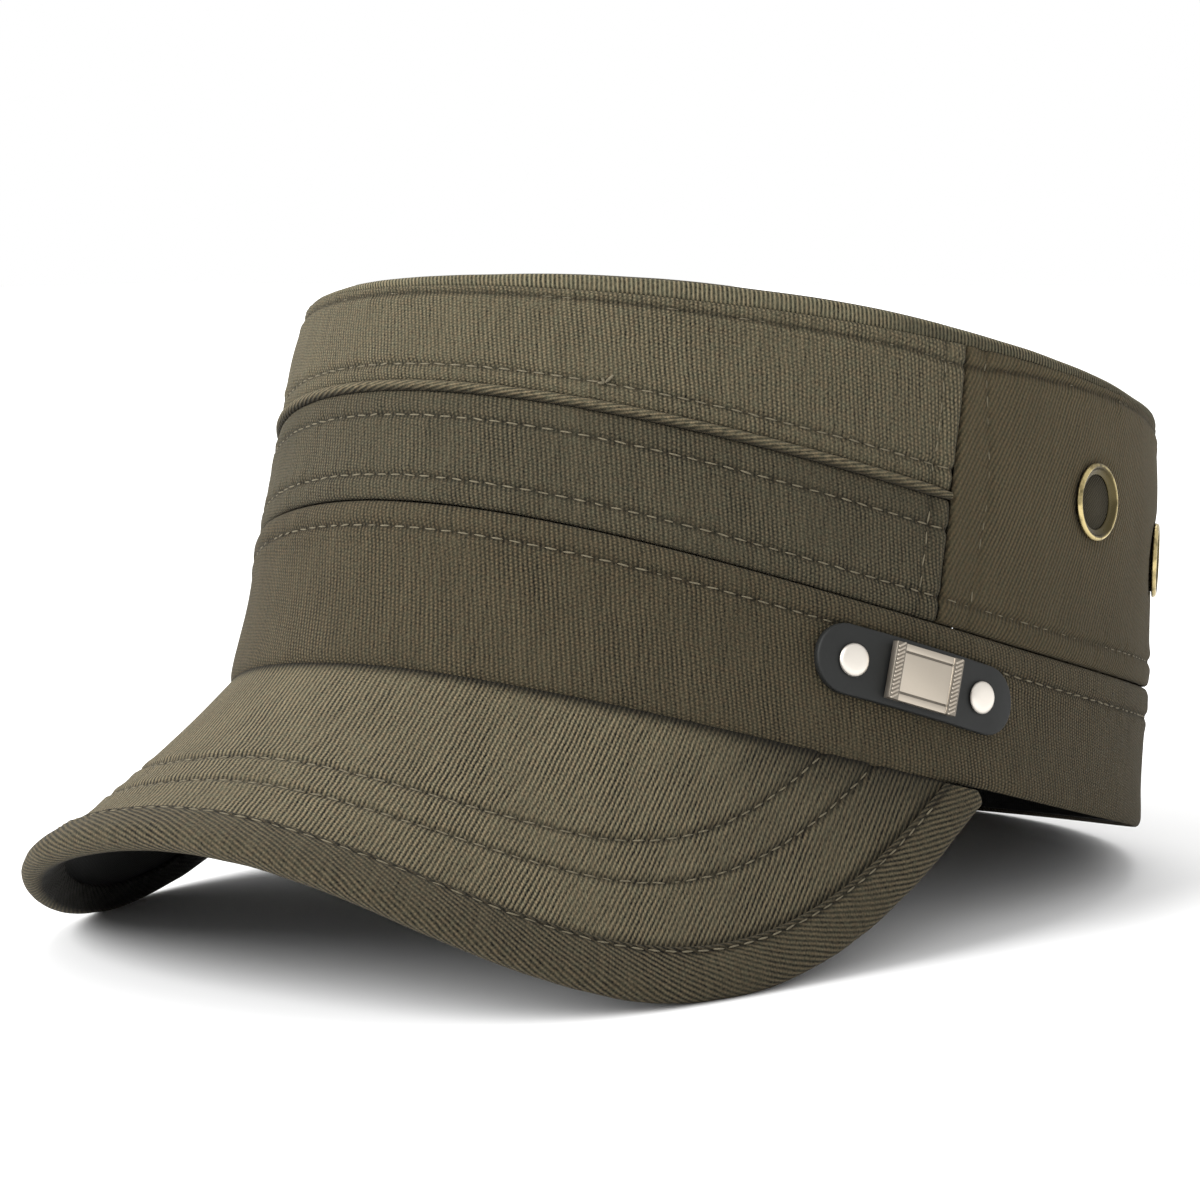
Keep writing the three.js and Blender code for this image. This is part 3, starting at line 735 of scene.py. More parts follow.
def cloth_sheet(run, columns, rows, place, weave, closed=False, turned=False, ribbed=None):
    """A sheet over a run of angles; place gives the point and its painted shade, weave the cloth's
    UV
    """
    mesh = bmesh.new()
    bmesh.ops.create_grid(mesh, x_segments=columns, y_segments=rows, size=0.5)
    cloth = mesh.loops.layers.uv.new("cloth")
    painted_shade = mesh.verts.layers.float.new("painted_shade")
    spots = [(mix(*run, vert.co.x + 0.5), vert.co.y + 0.5) for vert in mesh.verts]
    mesh.verts.index_update()
    flat = [weave(*spot) for spot in spots]
    for face in mesh.faces:
        for loop in face.loops:
            loop[cloth].uv = flat[loop.vert.index]
    for vert, spot in zip(mesh.verts, spots):
        vert.co, vert[painted_shade] = place(*spot)
    if ribbed:
        bold = mesh.verts.layers.float.new("ribbed")
        for vert, spot in zip(mesh.verts, spots):
            vert[bold] = ribbed(*spot)
    if closed:
        bmesh.ops.remove_doubles(mesh, verts=mesh.verts, dist=WELD)
    if turned:
        bmesh.ops.reverse_faces(mesh, faces=mesh.faces)
    return mesh


def lengthwise(total, start=0.0):
    """Cloth that runs along the crown's outline and rises to its total from a start"""
    return lambda angle, share: (arc_length(angle), start + share * total)


def add_object(name, data):
    added = bpy.data.objects.new(name, data)
    bpy.context.scene.collection.objects.link(added)
    return added


def add_mesh(name, mesh, finish):
    data = bpy.data.meshes.new(name)
    mesh.to_mesh(data)
    mesh.free()
    data.materials.append(finish)
    return add_object(name, data)


def finished(name, mesh, finish, nodes=(), thickness=0.0):
    """Moves a mesh into the row's frame and makes it a piece that stands for its CAD nodes"""
    found = bpy.data.materials.get(finish)
    if found is None:
        raise RuntimeError(f"the finish {finish} isn't made yet: run the finishes first")
    mesh.transform(TO_ROW)
    for vert in mesh.verts:
        vert.co.z = max(vert.co.z, FLOOR_CLEARANCE)
    for face in mesh.faces:
        face.smooth = True
    piece = add_mesh(name, mesh, found)
    if thickness:
        wall = piece.modifiers.new("Cloth thickness", "SOLIDIFY")
        wall.thickness = thickness * MM
        wall.offset = -1.0
    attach(piece, "root")
    if nodes:
        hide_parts(*nodes)
    return piece


def bevel(mesh, edges, offset, segments):
    bmesh.ops.bevel(mesh, geom=edges, offset=offset, affect="EDGES", segments=segments,
                    profile=0.5, material=-1)


def cut_across(mesh, way, places):
    for place in places:
        bmesh.ops.bisect_plane(mesh, geom=[*mesh.verts, *mesh.edges, *mesh.faces],
                               plane_co=Vector(way) * place, plane_no=way)


def raise_faces(mesh, faces, rise):
    """Extrudes faces upwards and gives the new faces and points"""
    raised = bmesh.ops.extrude_face_region(mesh, geom=faces)["geom"]
    verts = [part for part in raised if isinstance(part, bmesh.types.BMVert)]
    bmesh.ops.translate(mesh, verts=verts, vec=(0, 0, rise))
    return [part for part in raised if isinstance(part, bmesh.types.BMFace)], verts


def sharp_edges(mesh, angle):
    return [edge for edge in mesh.edges
            if len(edge.link_faces) == 2 and edge.calc_face_angle() > angle]


def add_thread(mesh, where, size, segments):
    """A pad of thread: a sphere drawn out to its three sizes"""
    bmesh.ops.create_uvsphere(mesh, u_segments=8, v_segments=segments, radius=1.0,
                              matrix=where @ Matrix.Diagonal((*size, 1)))


# Stitching


def even_walk(path, pitch):
    """Places, directions and normals at even distances along a path of (point, normal)"""
    walked = running_lengths([point for point, _ in path])
    count = max(int(walked[-1] / pitch), 1)
    for number in range(count):
        wanted = (number + 0.5) * walked[-1] / count
        at = min(bisect.bisect_left(walked, wanted) - 1, len(path) - 2)
        (start, normal), (end, _) = path[at : at + 2]
        share = (wanted - walked[at]) / max(walked[at + 1] - walked[at], 1e-6)
        yield start.lerp(end, share), (end - start).normalized(), normal


def sew(mesh, path, settings, sink=0.0):
    """Adds a row of stitches along a path: each is a short pad of thread with its ends pulled in"""
    length, gap, thread = (size / MM for size in (settings.length, settings.gap, settings.thread))
    for number, (point, along, normal) in enumerate(even_walk(path, length + gap)):
        side = normal.cross(along).normalized()
        tilt = 0.2 * noise.noise((number * 1.7, point.x / 11, 5.0))
        buried = sink + thread * 0.55 * max(noise.noise((number * 0.83, point.x / 5, 6.0)), 0.0)
        along = (along + side * tilt).normalized()
        up = along.cross(side).normalized()
        if up.dot(normal) < 0:
            up = -up
        middle = point + up * (thread * 0.16 - buried)
        add_thread(mesh, stand(middle, along, up.cross(along), up),
                   (length * 0.53, thread * 0.5, thread * 0.46), 5)


def wall_seam(wall, line, start, end, steps=700):
    return [wall.face(angle, line(angle)) for angle in spread(start, end, steps)]


def upright_seam(wall, upright, side, low, high, steps=60):
    return [wall.face(side * upright(height), height) for height in spread(low, high, steps)]


def peak_seam(inside, steps=260):
    """The line on the peak at a distance inside its edge"""
    path = []
    for angle in spread(-PEAK_END, PEAK_END, steps):
        def within(reach):
            return inside_edge(peak_point(angle, reach)) >= inside

        if within(0.0):
            reach = farthest(within, peak_reach(angle), 24)
            point, normal = peak_point(angle, reach), peak_normal(angle, reach)
            path.append((point + normal * peak_relief(point, reach)[0], normal))
    return path


def binding_seam(steps=600):
    stations = [edge_station(angle) for angle in spread(-PEAK_END, PEAK_END, steps)]
    return [(edge + inward * BINDING_SEAM + normal * 1.02, normal)
            for edge, _, inward, normal in stations]


# Settings


def colour_setting(name, description, default):
    return bpy.props.FloatVectorProperty(
        name=name, description=description, subtype="COLOR", size=3, min=0.0, max=1.0,
        default=default)


def length_setting(name, description, default, low, high):
    return bpy.props.FloatProperty(
        name=name, description=description, unit="LENGTH", min=low, max=high, default=default)


def strength_setting(name, description, default):
    return bpy.props.FloatProperty(name=name, description=description, min=0.0, default=default)


class TWILLCAP_cloth(bpy.types.PropertyGroup):
    shade: colour_setting("Cloth", "Colour of the olive twill", (0.0675, 0.058, 0.0378))
    binding_shade: colour_setting(
        "Binding", "Colour of the bias binding round the peak", (0.065, 0.0555, 0.036))
    # The near-black lining is the sweatband's own dark cloth; on the peak's underside it is partly
    # painted shade under the peak
    lining_shade: colour_setting(
        "Lining", "Colour of the sweatband and the peak's underside", (0.006, 0.006, 0.005))
    rib_pitch: length_setting("Rib pitch", "Width of one rib of the twill", 0.00082, 0.0003, 0.003)
    rib_lean: bpy.props.FloatProperty(
        name="Rib lean", description="How far the ribs lean from upright", subtype="ANGLE",
        default=math.radians(13))
    thickness: length_setting(
        "Cloth thickness", "Thickness of a wall of folded cloth", 0.0014, 0.0004, 0.002)


class TWILLCAP_thread(bpy.types.PropertyGroup):
    shade: colour_setting("Thread", "Colour of the sewing thread", (0.13, 0.112, 0.074))
    length: length_setting("Stitch length", "Thread seen in one stitch", 0.0023, 0.001, 0.006)
    gap: length_setting("Stitch gap", "Cloth between two stitches", 0.0009, 0.0002, 0.003)
    thread: length_setting(
        "Thread thickness", "Diameter of the sewing thread", 0.00036, 0.0001, 0.001)


class TWILLCAP_trim(bpy.types.PropertyGroup):
    brass_shade: colour_setting("Eyelet brass", "Colour of the vent eyelets", (0.52, 0.42, 0.2))
    steel_shade: colour_setting(
        "Badge metal", "Colour of the plate on the badge", (0.44, 0.39, 0.325))
    rivet_shade: colour_setting("Rivets", "Colour of the rivet heads", (0.72, 0.675, 0.61))
    strap_shade: colour_setting(
        "Badge strap", "Colour of the badge's strap", (0.0115, 0.0122, 0.0115))


class TWILLCAP_stage(bpy.types.PropertyGroup):
    floor_shade: colour_setting("Floor", "Colour of the floor", (0.9, 0.9, 0.9))
    key_power: strength_setting("Key light", "Strength of the light at the upper left", 4.0)
    back_power: strength_setting(
        "Back light", "Strength of the light from behind and above", 1.2)
    room: strength_setting("Room light", "Strength of the even light all round", 1.0)
    lens: bpy.props.FloatProperty(
        name="Lens", description="Focal length of the camera", unit="CAMERA", min=10.0,
        default=106.54)


# Operators


class TWILLCAP_OT_finishes(bpy.types.Operator):
    """Make the finishes of cloth, thread, metal and strap"""

    bl_idname = "twillcap.finishes"
    bl_label = "Finishes"

    def execute(self, context):
        cloth = context.scene.twillcap_cloth
        trim = context.scene.twillcap_trim
        shade = cloth.shade
        # The gains paint light and shade into one olive twill: the upper panels, the top, the back,
        # the peak and the piping are lighter copies, the lower front and the band darker ones
        for name, gains in (("crown", (0.93,)), ("upper", (1.55,)), ("top", (1.55,)),
                            ("band", (0.9, 0.86, 0.82))):
            twill_finish(f"{name} twill", shaded(shade, *gains), cloth.rib_pitch / MM,
                         cloth.rib_lean)
        twill_finish("back twill", shaded(shade, 1.19, 1.12, 1.01), cloth.rib_pitch / MM,
                     math.radians(-28), contrast=0.55, dots=0.4)
        twill_finish("peak twill", shaded(shade, 1.72), 0.94, math.radians(16), strength=1.0,
                     contrast=1.15, dots=0.4)
        twill_finish("binding twill", cloth.binding_shade, 0.86, math.radians(114), dots=0.3)
        twill_finish("piping twill", shaded(shade, 1.65), 0.85, math.radians(-68), strength=1.0,
                     contrast=0.8, dots=0.25)
        thread_finish("thread", context.scene.twillcap_thread.shade)
        lining_finish("dark lining", cloth.lining_shade)
        # The vent cloth is a darker copy of the same twill colour: painted shade in the vent holes
        mesh_finish("vent cloth", shaded(shade, 0.6))
        metal_finish("eyelet brass", trim.brass_shade, 0.14, 0.26, tarnish=(0.45, 0.75))
        metal_finish("badge metal", trim.steel_shade, 0.35, 0.42)
        metal_finish("rivet metal", trim.rivet_shade, 0.85, 0.45)
        strap_finish("badge strap", trim.strap_shade)
        return {"FINISHED"}


class TWILLCAP_OT_head_band(bpy.types.Operator):
    """Make the head band and the sweatband inside it"""

    bl_idname = "twillcap.head_band"
    bl_label = "Head band"

    def execute(self, context):
        thickness = context.scene.twillcap_cloth.thickness / MM
        mesh = BAND.sheet(-math.pi, math.pi, 480, 60, closed=True)
        finished("head_band_cloth", mesh, "band twill", ("head_band",), thickness)
        section = Outline([(0.6, -2.65), (1.2, -2.55), (12, -2.45), (23, -2.35), (24.2, -2.6),
                           (24.2, -3.0)])

        def place(angle, share):
            rise, out = section.at(share)
            out += 0.15 * noise.noise((arc_length(angle) / 14, rise / 9, 60.0))
            return wall_point(angle, line_height("hem", angle) + rise, out - 0.2), 0.0

        weave = lengthwise(section.total)
        band = cloth_sheet((-math.pi, math.pi), 300, 20, place, weave, closed=True)
        finished("sweatband_cloth", band, "dark lining", ("sweatband",), 0.9)
        return {"FINISHED"}


class TWILLCAP_OT_front_panels(bpy.types.Operator):
    """Make the two front panels and the piping between them"""

    bl_idname = "twillcap.front_panels"
    bl_label = "Front panels"

    def execute(self, context):
        end = math.radians(SEAM_DEGREES - SEAM_HALF_GAP)
        thickness = context.scene.twillcap_cloth.thickness / MM
        for wall, word, rows, finish in ((LOWER_FRONT, "lower", 48, "crown twill"),
                                         (UPPER_FRONT, "upper", 58, "upper twill")):
            finished(f"front_{word}_cloth", wall.sheet(-end, end, 300, rows), finish,
                     (f"front_panel_{word}",), thickness)

        def place(angle, share):
            turn = math.tau * share
            run = arc_length(angle)
            radius = 0.98 + 0.05 * noise.noise((run / 5, 0.0, 70.0))
            radius *= mix(1.0, 0.72, bell(arc_length(end) - abs(run), 3.0))
            height = line_height("piping", angle) + radius * math.sin(turn)
            point = wall_point(angle, height, 0.02 + radius * math.cos(turn))
            # Painted shade on the cord's lower half and where it lies against the panels
            under = clamp((-math.sin(turn) - 0.1) * 1.3)
            return point, max(0.6 * bell(math.cos(turn) + 0.1, 0.5), under)

        cord = cloth_sheet((-end, end), 300, 14, place, lengthwise(6.2), closed=True)
        finished("piping_cloth", cord, "piping twill", ("piping",))
        return {"FINISHED"}


class TWILLCAP_OT_back_panels(bpy.types.Operator):
    """Make the back panels, with a hole for each vent"""

    bl_idname = "twillcap.back_panels"
    bl_label = "Back panels"

    def execute(self, context):
        thickness = context.scene.twillcap_cloth.thickness / MM
        start = math.radians(SEAM_DEGREES + SEAM_HALF_GAP)
        end = math.pi - math.radians(SEAM_HALF_GAP)
        for side, word in SIDES:
            mesh = BACK.sheet(*sorted((side * start, side * end)), 190, 88)
            for _, angle, height in VENTS:
                self.pierce(mesh, side, angle, height)
            finished(f"back_{word}_cloth", mesh, "back twill",
                     (f"back_panel_{word}",), thickness)
        return {"FINISHED"}

    def pierce(self, mesh, side, angle, height):
        """Cuts a vent's hole and presses in the cloth round it"""
        around = vent_matrix(side, angle, height).inverted()

        def off(point):
            spot = around @ point
            return math.hypot(spot.x, spot.y) if abs(spot.z) < THROUGH_CLOTH else math.inf

        hole = [face for face in mesh.faces if off(face.calc_center_median()) < VENT_HOLE]
        bmesh.ops.delete(mesh, geom=hole, context="FACES")
        inward = -plan_normal(side * math.radians(angle), height)
        for vert in mesh.verts:
            if off(vert.co) < VENT_DENT:
                vert.co += inward * (0.35 * bell(off(vert.co) - 7.2, 1.6))


def vent_matrix(side, angle, height):
    """From a vent's own frame, with +Z out of the cloth, to the cap's"""
    turn = side * math.radians(angle)
    along = wall_point(turn + 0.01, height) - wall_point(turn - 0.01, height)
    up = (wall_point(turn, height + 0.5) - wall_point(turn, height - 0.5)).normalized()
    normal = along.cross(up).normalized()
    sideways = up.cross(normal).normalized()
    middle = wall_point(turn, height, 0.35)
    return stand(middle, sideways, normal.cross(sideways), normal)


def spun(outline, steps):
    """A ring turned from an outline of radius and height"""
    mesh = bmesh.new()
    mesh.verts.layers.float.new("painted_shade")
    verts = [mesh.verts.new((radius, 0.0, height)) for radius, height in outline]
    edges = [mesh.edges.new(pair) for pair in zip(verts, verts[1:])]
    bmesh.ops.spin(mesh, geom=[*verts, *edges], cent=(0, 0, 0), axis=(0, 0, 1),
                   angle=math.tau, steps=steps, use_merge=True)
    bmesh.ops.remove_doubles(mesh, verts=mesh.verts, dist=WELD)
    bmesh.ops.recalc_face_normals(mesh, faces=mesh.faces)
    return mesh


class TWILLCAP_OT_vents(bpy.types.Operator):
    """Make the brass eyelets and the woven cloth behind them"""

    bl_idname = "twillcap.vents"
    bl_label = "Vent eyelets"

    def execute(self, context):
        section = [(5.4, -2.3), (5.25, -1.3), (5.12, -0.6), (5.14, -0.08), (5.4, 0.04),
                   (5.8, 0.14), (6.12, 0.34), (6.4, 0.72), (6.75, 0.88), (7.05, 0.76),
                   (7.25, 0.48), (7.32, 0.2), (7.22, 0.0), (6.9, -0.07), (6.35, -0.08),
                   (6.1, -0.4), (6.05, -2.3), (5.9, -2.4), (5.4, -2.3)]
        path = [tuple(point) for point in smooth_path(section, 3)]
        for side, word in SIDES:
            for place, angle, height in VENTS:
                around = vent_matrix(side, angle, height)
                ring = spun(path, 56)
                painted_shade = ring.verts.layers.float["painted_shade"]
                # Painted shade on the eyelet's inner wall, inside the crest of its flange
                for vert in ring.verts:
                    vert[painted_shade] = clamp((6.78 - math.hypot(vert.co.x, vert.co.y)) / 0.35)
                ring.transform(around)
                finished(f"vent_ring_{word}_{place}", ring, "eyelet brass",
                         (f"eyelet_{word}_{place}",))
                mesh = self.cloth()
                mesh.transform(around)
                finished(f"vent_cloth_{word}_{place}", mesh, "vent cloth",
                         (f"vent_mesh_{word}_{place}",), 0.5)
        return {"FINISHED"}

    def cloth(self, radius=5.9, rings=5):
        """A round of cloth that bulges out a little"""
        mesh = bmesh.new()
        bmesh.ops.create_circle(mesh, cap_ends=True, segments=40, radius=radius)
        rim = list(mesh.faces)
        for _ in range(rings):
            bmesh.ops.inset_region(mesh, faces=rim, thickness=1.02, use_even_offset=True)
        cloth = mesh.loops.layers.uv.new("cloth")
        mesh.verts.layers.float.new("painted_shade")
        for face in mesh.faces:
            for loop in face.loops:
                loop[cloth].uv = loop.vert.co.xy
        for vert in mesh.verts:
            vert.co.z = -0.28 + 0.62 * (1 - (vert.co.xy.length / radius) ** 2)
        return mesh


class TWILLCAP_OT_crown_top(bpy.types.Operator):
    """Make the flat top panel and its rolled rim"""

    bl_idname = "twillcap.crown_top"
    bl_label = "Top panel"

    def execute(self, context):
        # Each ring's way in, its rise, and how far it follows the flat top instead of the rim
        rings = Outline([(1.3, -2.4, 0), (0.3, -2.4, 0), (-0.02, -2.15, 0), (-0.14, -1.4, 0),
                         (-0.05, -0.6, 0), (0.2, -0.15, 0), (0.5, 0.0, 0), (0.78, -0.05, 0),
                         (0.95, -0.02, 0), (1.2, 0.22, 0), (1.7, 0.38, 0), (2.4, 0.3, 0.02),
                         (3.4, -0.1, 0.1), (6.5, -1.0, 0.65), (12, -1.5, 1)], scale=(1, 1, 0))
        # The worn rim's rise at each degree round it
        rise = Outline([(-180, 0), (-90, 0), (-60, -0.5), (-45, -1.1), (-25, -1.2), (-10, -0.6),
                        (0, -0.35), (10, 0), (20, 0.6), (30, 0.8), (40, 1.0), (58, 1.05),
                        (70, 0.4), (80, -0.1), (90, -0.4), (103, -0.8), (118, -0.5), (140, 0),
                        (180, 0)])
        rows = 66
        flat_from = 34 / rows

        def place(angle, share):
            rim = line_height("top", angle)
            inset, over, flat = rings.at(share / flat_from)
            over += rise.value_at(math.degrees(angle)) * ramp(over, -2.1, 1.6) * (1 - flat)
            point = wall_point(angle, rim, -inset)
            if share > flat_from:
                centre = Vector((0.0, -4.0, point.z))
                point = point.lerp(centre, (share - flat_from) / (1 - flat_from))
            point.z = mix(rim, flat_top_height(point.y), flat) + over
            run = arc_length(angle)
            # Painted shade in the line round the rim, and the rim's painted shadow at its lower
            # edge
            painted_shade = bell(inset - 0.85, 0.16) if share > 0.1 else rim_shadow(angle)
            held = clamp(inset / 3)
            point.z += 0.3 * held * noise.noise((point.x / 26, point.y / 26, 80.0))
            if inset < 3:
                point += plan_normal(angle, rim) * 0.18 * noise.noise((run / 8, over / 3, 81.0))
                point.z += 0.22 * noise.noise((run / 19, 0.0, 82.0))
            return point, painted_shade

        def weave(angle, share):
            if rings.at(share / flat_from).x < 0.9:
                return arc_length(angle), share / flat_from * rings.total
            return place(angle, share)[0].xy

        def ribbed(angle, share):
            return 1.0 if share < flat_from and rings.at(share / flat_from).x < 0.8 else 0.0

        mesh = cloth_sheet((-math.pi, math.pi), 480, rows, place, weave, True, ribbed=ribbed)
        finished("crown_top_cloth", mesh, "top twill", ("crown_top",),
                 context.scene.twillcap_cloth.thickness / MM)
        return {"FINISHED"}


def rim_shadow(angle):
    """The rim's lower edge lies close on the front panels and stands proud behind the seams"""
    return 0.06 + 0.55 * ramp(abs(math.degrees(angle)), 57, 9)


def flat_top_height(y):
    front, side, back = LINES["top"]
    return ((front + back) / 2 + side) / 2 + (back - front) / 2 * (y / TOP_PLAN.front)


class TWILLCAP_OT_peak(bpy.types.Operator):
    """Make the peak, its underside and the bias binding round its edge"""

    bl_idname = "twillcap.peak"
    bl_label = "Peak"

    def execute(self, context):
        self.upper()
        self.underside()
        self.binding()
        return {"FINISHED"}

    def upper(self, rows=74):
        """The peak's upper cloth, whose first two rows are tucked in behind the band"""
        def down(share):
            return (share * rows - 2) / (rows - 2)

        def place(angle, share):
            # The rows tucked behind the band are painted fully dark: painted shade
            if share < 1.5 / rows:
                return wall_point(angle, line_height("hem", angle) - PEAK.dip, -2.0), 1.0
            point, painted_shade = peak_place(angle, down(share))
            # A painted shadow of the band runs along the peak just below the hem
            painted_shade = max(painted_shade, 1.35 * bell((share * rows - 2) / 2.3, 1.0))
            # Painted shadow of the band over the peak's left end
            band_shadow = painted_band_shadow(angle, down(share) * peak_reach(angle))
            return point, painted_shade + band_shadow * max(1 - 0.75 * painted_shade, 0.0)

        def weave(angle, share):
            return peak_cloth(angle, down(share) * peak_reach(angle))

        mesh = cloth_sheet((-PEAK_END, PEAK_END), 340, rows, place, weave, turned=True)
        finished("peak_cloth", mesh, "peak twill", ("peak",), 1.6)

    def underside(self, end=math.radians(68)):
        def place(angle, share):
            return peak_place(angle, mix(0.08, 1.0, share), depth=2.25)[0], 0.0

        def weave(angle, share):
            return peak_cloth(angle, share * peak_reach(angle))

        mesh = cloth_sheet((-end, end), 160, 30, place, weave)
        # The peak's underside takes the near-black lining colour, partly painted shade under the
        # peak
        finished("peak_lining", mesh, "dark lining", ("peak_underside",), -0.6)

    def binding(self, steps=420, extra=14):
        """The binding's section, its way in and up, led along the edge and on past both ends"""
        section = Outline([(4.05, 0.34), (4.25, 0.62), (4.15, 1.0), (3.75, 1.22), (3.3, 0.98),
                           (2.8, 1.12), (1.8, 1.22), (0.4, 1.25), (-1.2, 1.16), (-2.9, 0.83),
                           (-4.1, 0.05), (-4.62, -1.1), (-4.55, -2.1), (-3.9, -3.2), (-2.7, -3.95),
                           (-0.9, -4.12), (1.2, -4.05), (2.6, -3.95)])
        stations = []
        whole = steps - 2 * extra
        for step in range(steps + 1):
            share = (step - extra) / whole
            edge, along, inward, normal = edge_station(mix(-PEAK_END, PEAK_END, clamp(share)))
            past = (share - clamp(share)) * whole * 0.8
            stations.append((edge + along * past, inward, normal))
        walked = running_lengths([edge for edge, _, _ in stations])

        def place(number, share):
            edge, inward, normal = stations[round(number)]
            run = walked[round(number)]
            into, up = section.at(share)
            seam = into - BINDING_SEAM
            pull = noise.noise((run / 2.6, into / 4, 90.0))
            swell = 0.22 * pull * bell(seam, 3.0) + 0.22 * noise.noise((run / 17, into / 5, 91.0))
            swell += 0.12 * noise.noise((run / 6, into / 3, 92.0))
            out = inward * (0.0 if into > -1 else -1.0) + normal * (1.0 if up > -1.5 else -1.0)
            point = edge + inward * into + normal * up + out.normalized() * swell
            # Painted shade in the stitching, at the inner edge and under the peak
            painted_shade = bell(seam, 0.5) if up > 0 else 0.0
            if up > 0 and into > 3.9:
                painted_shade = 0.5
            if up < -2.4:
                painted_shade = 1.41 * ramp(into, -3.9, 1.3)
            return tucked(point), painted_shade

        def weave(number, share):
            return walked[round(number)], share * section.total

        mesh = cloth_sheet((0, steps), steps, 46, place, weave, turned=True)
        finished("peak_binding_cloth", mesh, "binding twill",
                 ("peak_binding",), 0.7)


def tucked(point):
    """Keeps a point of the binding's ends under the hem of the band"""
    angle = wanted = math.atan2(point.x, -point.y)
    for _ in range(4):
        found = plan_point(angle, 0.0)
        angle += wanted - math.atan2(found.x, -found.y)
    out = (point - plan_point(angle, point.z)).dot(plan_normal(angle, point.z))
    if out < 7:
        point.z = min(point.z, line_height("hem", angle) - 0.75 + max(out - 2.6, 0.0) * 0.6)
    return point


class TWILLCAP_OT_badge(bpy.types.Operator):
    """Make the strap, metal plate and rivets on the side of the band"""

    bl_idname = "twillcap.badge"
    bl_label = "Side badge"

    def execute(self, context):
        self.strap()
        self.plate()
        self.rivet("front", -RIVET_PLACE)
        self.rivet("back", RIVET_PLACE)
        return {"FINISHED"}

    def point(self, along, up, out):
        """A point of the badge, in millimetres from its middle on the band's curved face"""
        ends = [plan_point(BADGE.angle + turn, BADGE.height) for turn in (0.001, -0.001)]
        angle = BADGE.angle + along / ((ends[0] - ends[1]).length / 0.002)
        return wall_point(angle, BADGE.height + up + BADGE.slope * along, out)

    def frame(self, along, out):
        forward = (self.point(along + 0.5, 0, out) - self.point(along - 0.5, 0, out)).normalized()
        up = (self.point(along, 0.5, out) - self.point(along, -0.5, out)).normalized()
        normal = forward.cross(up).normalized()
        return stand(self.point(along, 0, out), forward, normal.cross(forward), normal)

    def strap(self, thickness=1.6):
        mesh = bmesh.new()
        bmesh.ops.create_circle(mesh, cap_ends=True, segments=44, radius=6.2,
                                matrix=Matrix.Rotation(math.pi / 44, 4, "Z"))
        for vert in mesh.verts:
            vert.co.x += 16.3 if vert.co.x > 0 else -15.45
        top, _ = raise_faces(mesh, mesh.faces[:], thickness)
        bmesh.ops.recalc_face_normals(mesh, faces=mesh.faces)
        bevel(mesh, top[0].edges[:], 0.5, 3)
        cut_across(mesh, (1, 0, 0), [cut * 1.5 for cut in range(-14, 15)])
        for vert in mesh.verts:
            along, up, rise = vert.co
            sag = 0.25 * bell(abs(along) - RIVET_PLACE, 4.0) * min(rise / thickness, 1.0)
            vert.co = self.point(along, up, 0.45 + rise - sag)
        finished("badge_strap_leather", mesh, "badge strap", ("badge_strap",))

    def plate(self, length=15.2, width=10.2, thick=1.2, flange=5.5):
        """A plate with two grooves and two raised ends; flange is where an end starts"""
        mesh = bmesh.new()
        bmesh.ops.create_cube(mesh, size=1.0, matrix=Matrix.Diagonal((length, width, thick, 1)))
        cut_across(mesh, (1, 0, 0), (-flange, flange))
        cut_across(mesh, (0, 1, 0), (-3.85, -3.45, 3.45, 3.85))
        tops = [(face, face.calc_center_median()) for face in mesh.faces if face.normal.z > 0.9]
        ends = [face for face, spot in tops if abs(spot.x) > flange]
        grooves = [face for face, spot in tops
                   if abs(spot.x) < flange and 3.4 < abs(spot.y) < 3.9]
        painted_shade = mesh.verts.layers.float.new("painted_shade")
        # Painted shade on the raised, knurled ends
        for vert in raise_faces(mesh, ends, 0.35)[1]:
            vert[painted_shade] = 0.9
        bmesh.ops.delete(mesh, geom=ends, context="FACES_ONLY")
        # Painted shade in the two grooves
        for groove in grooves:
            bmesh.ops.inset_individual(mesh, faces=[groove], thickness=0.08, depth=-0.22)
            for vert in groove.verts:
                vert[painted_shade] = 1.0
        bmesh.ops.remove_doubles(mesh, verts=mesh.verts, dist=WELD)
        bmesh.ops.recalc_face_normals(mesh, faces=mesh.faces)
        bevel(mesh, sharp_edges(mesh, 0.7), 0.09, 2)
        for place in itertools.product((-6.55, 6.55), range(13)):
            self.ridge(mesh, *place)
        mesh.transform(Matrix.Translation((0, 0, thick / 2)))
        mesh.transform(self.frame(0, 2.4))
        plate = finished("badge_plate_metal", mesh, "badge metal",
                         ("badge_plate",))
        flatten_shading(plate, 35)

    def ridge(self, mesh, along, number):
        """One of the slanting ridges across the raised ends"""
        place = Matrix.Translation((along, -4.55 + number * 0.76, 0.97))
        turn = Matrix.Rotation(math.radians(35), 4, "Z")
        ridge = bmesh.ops.create_cube(
            mesh, size=1.0, matrix=place @ turn @ Matrix.Diagonal((1.75, 0.42, 0.3, 1)))
        edges = {edge for vert in ridge["verts"] for edge in vert.link_edges}
        bevel(mesh, list(edges), 0.12, 1)

    def rivet(self, place, along):
        mesh = spun([(0.0, 0.86), (0.9, 0.85), (1.8, 0.8), (2.4, 0.68), (2.75, 0.45),
                     (2.92, 0.2), (2.95, 0.0), (0.0, 0.0)], 40)
        mesh.transform(self.frame(along, 2.2))
        rivet = finished(f"rivet_{place}_metal", mesh, "rivet metal",
                         (f"badge_rivet_{place}",))
        flatten_shading(rivet, 50)


def flatten_shading(piece, degrees):
    """Keeps edges sharper than an angle crisp"""
    mesh = bmesh.new()
    mesh.from_mesh(piece.data)
    for edge in sharp_edges(mesh, math.radians(degrees)):
        edge.smooth = False
    mesh.to_mesh(piece.data)
    mesh.free()


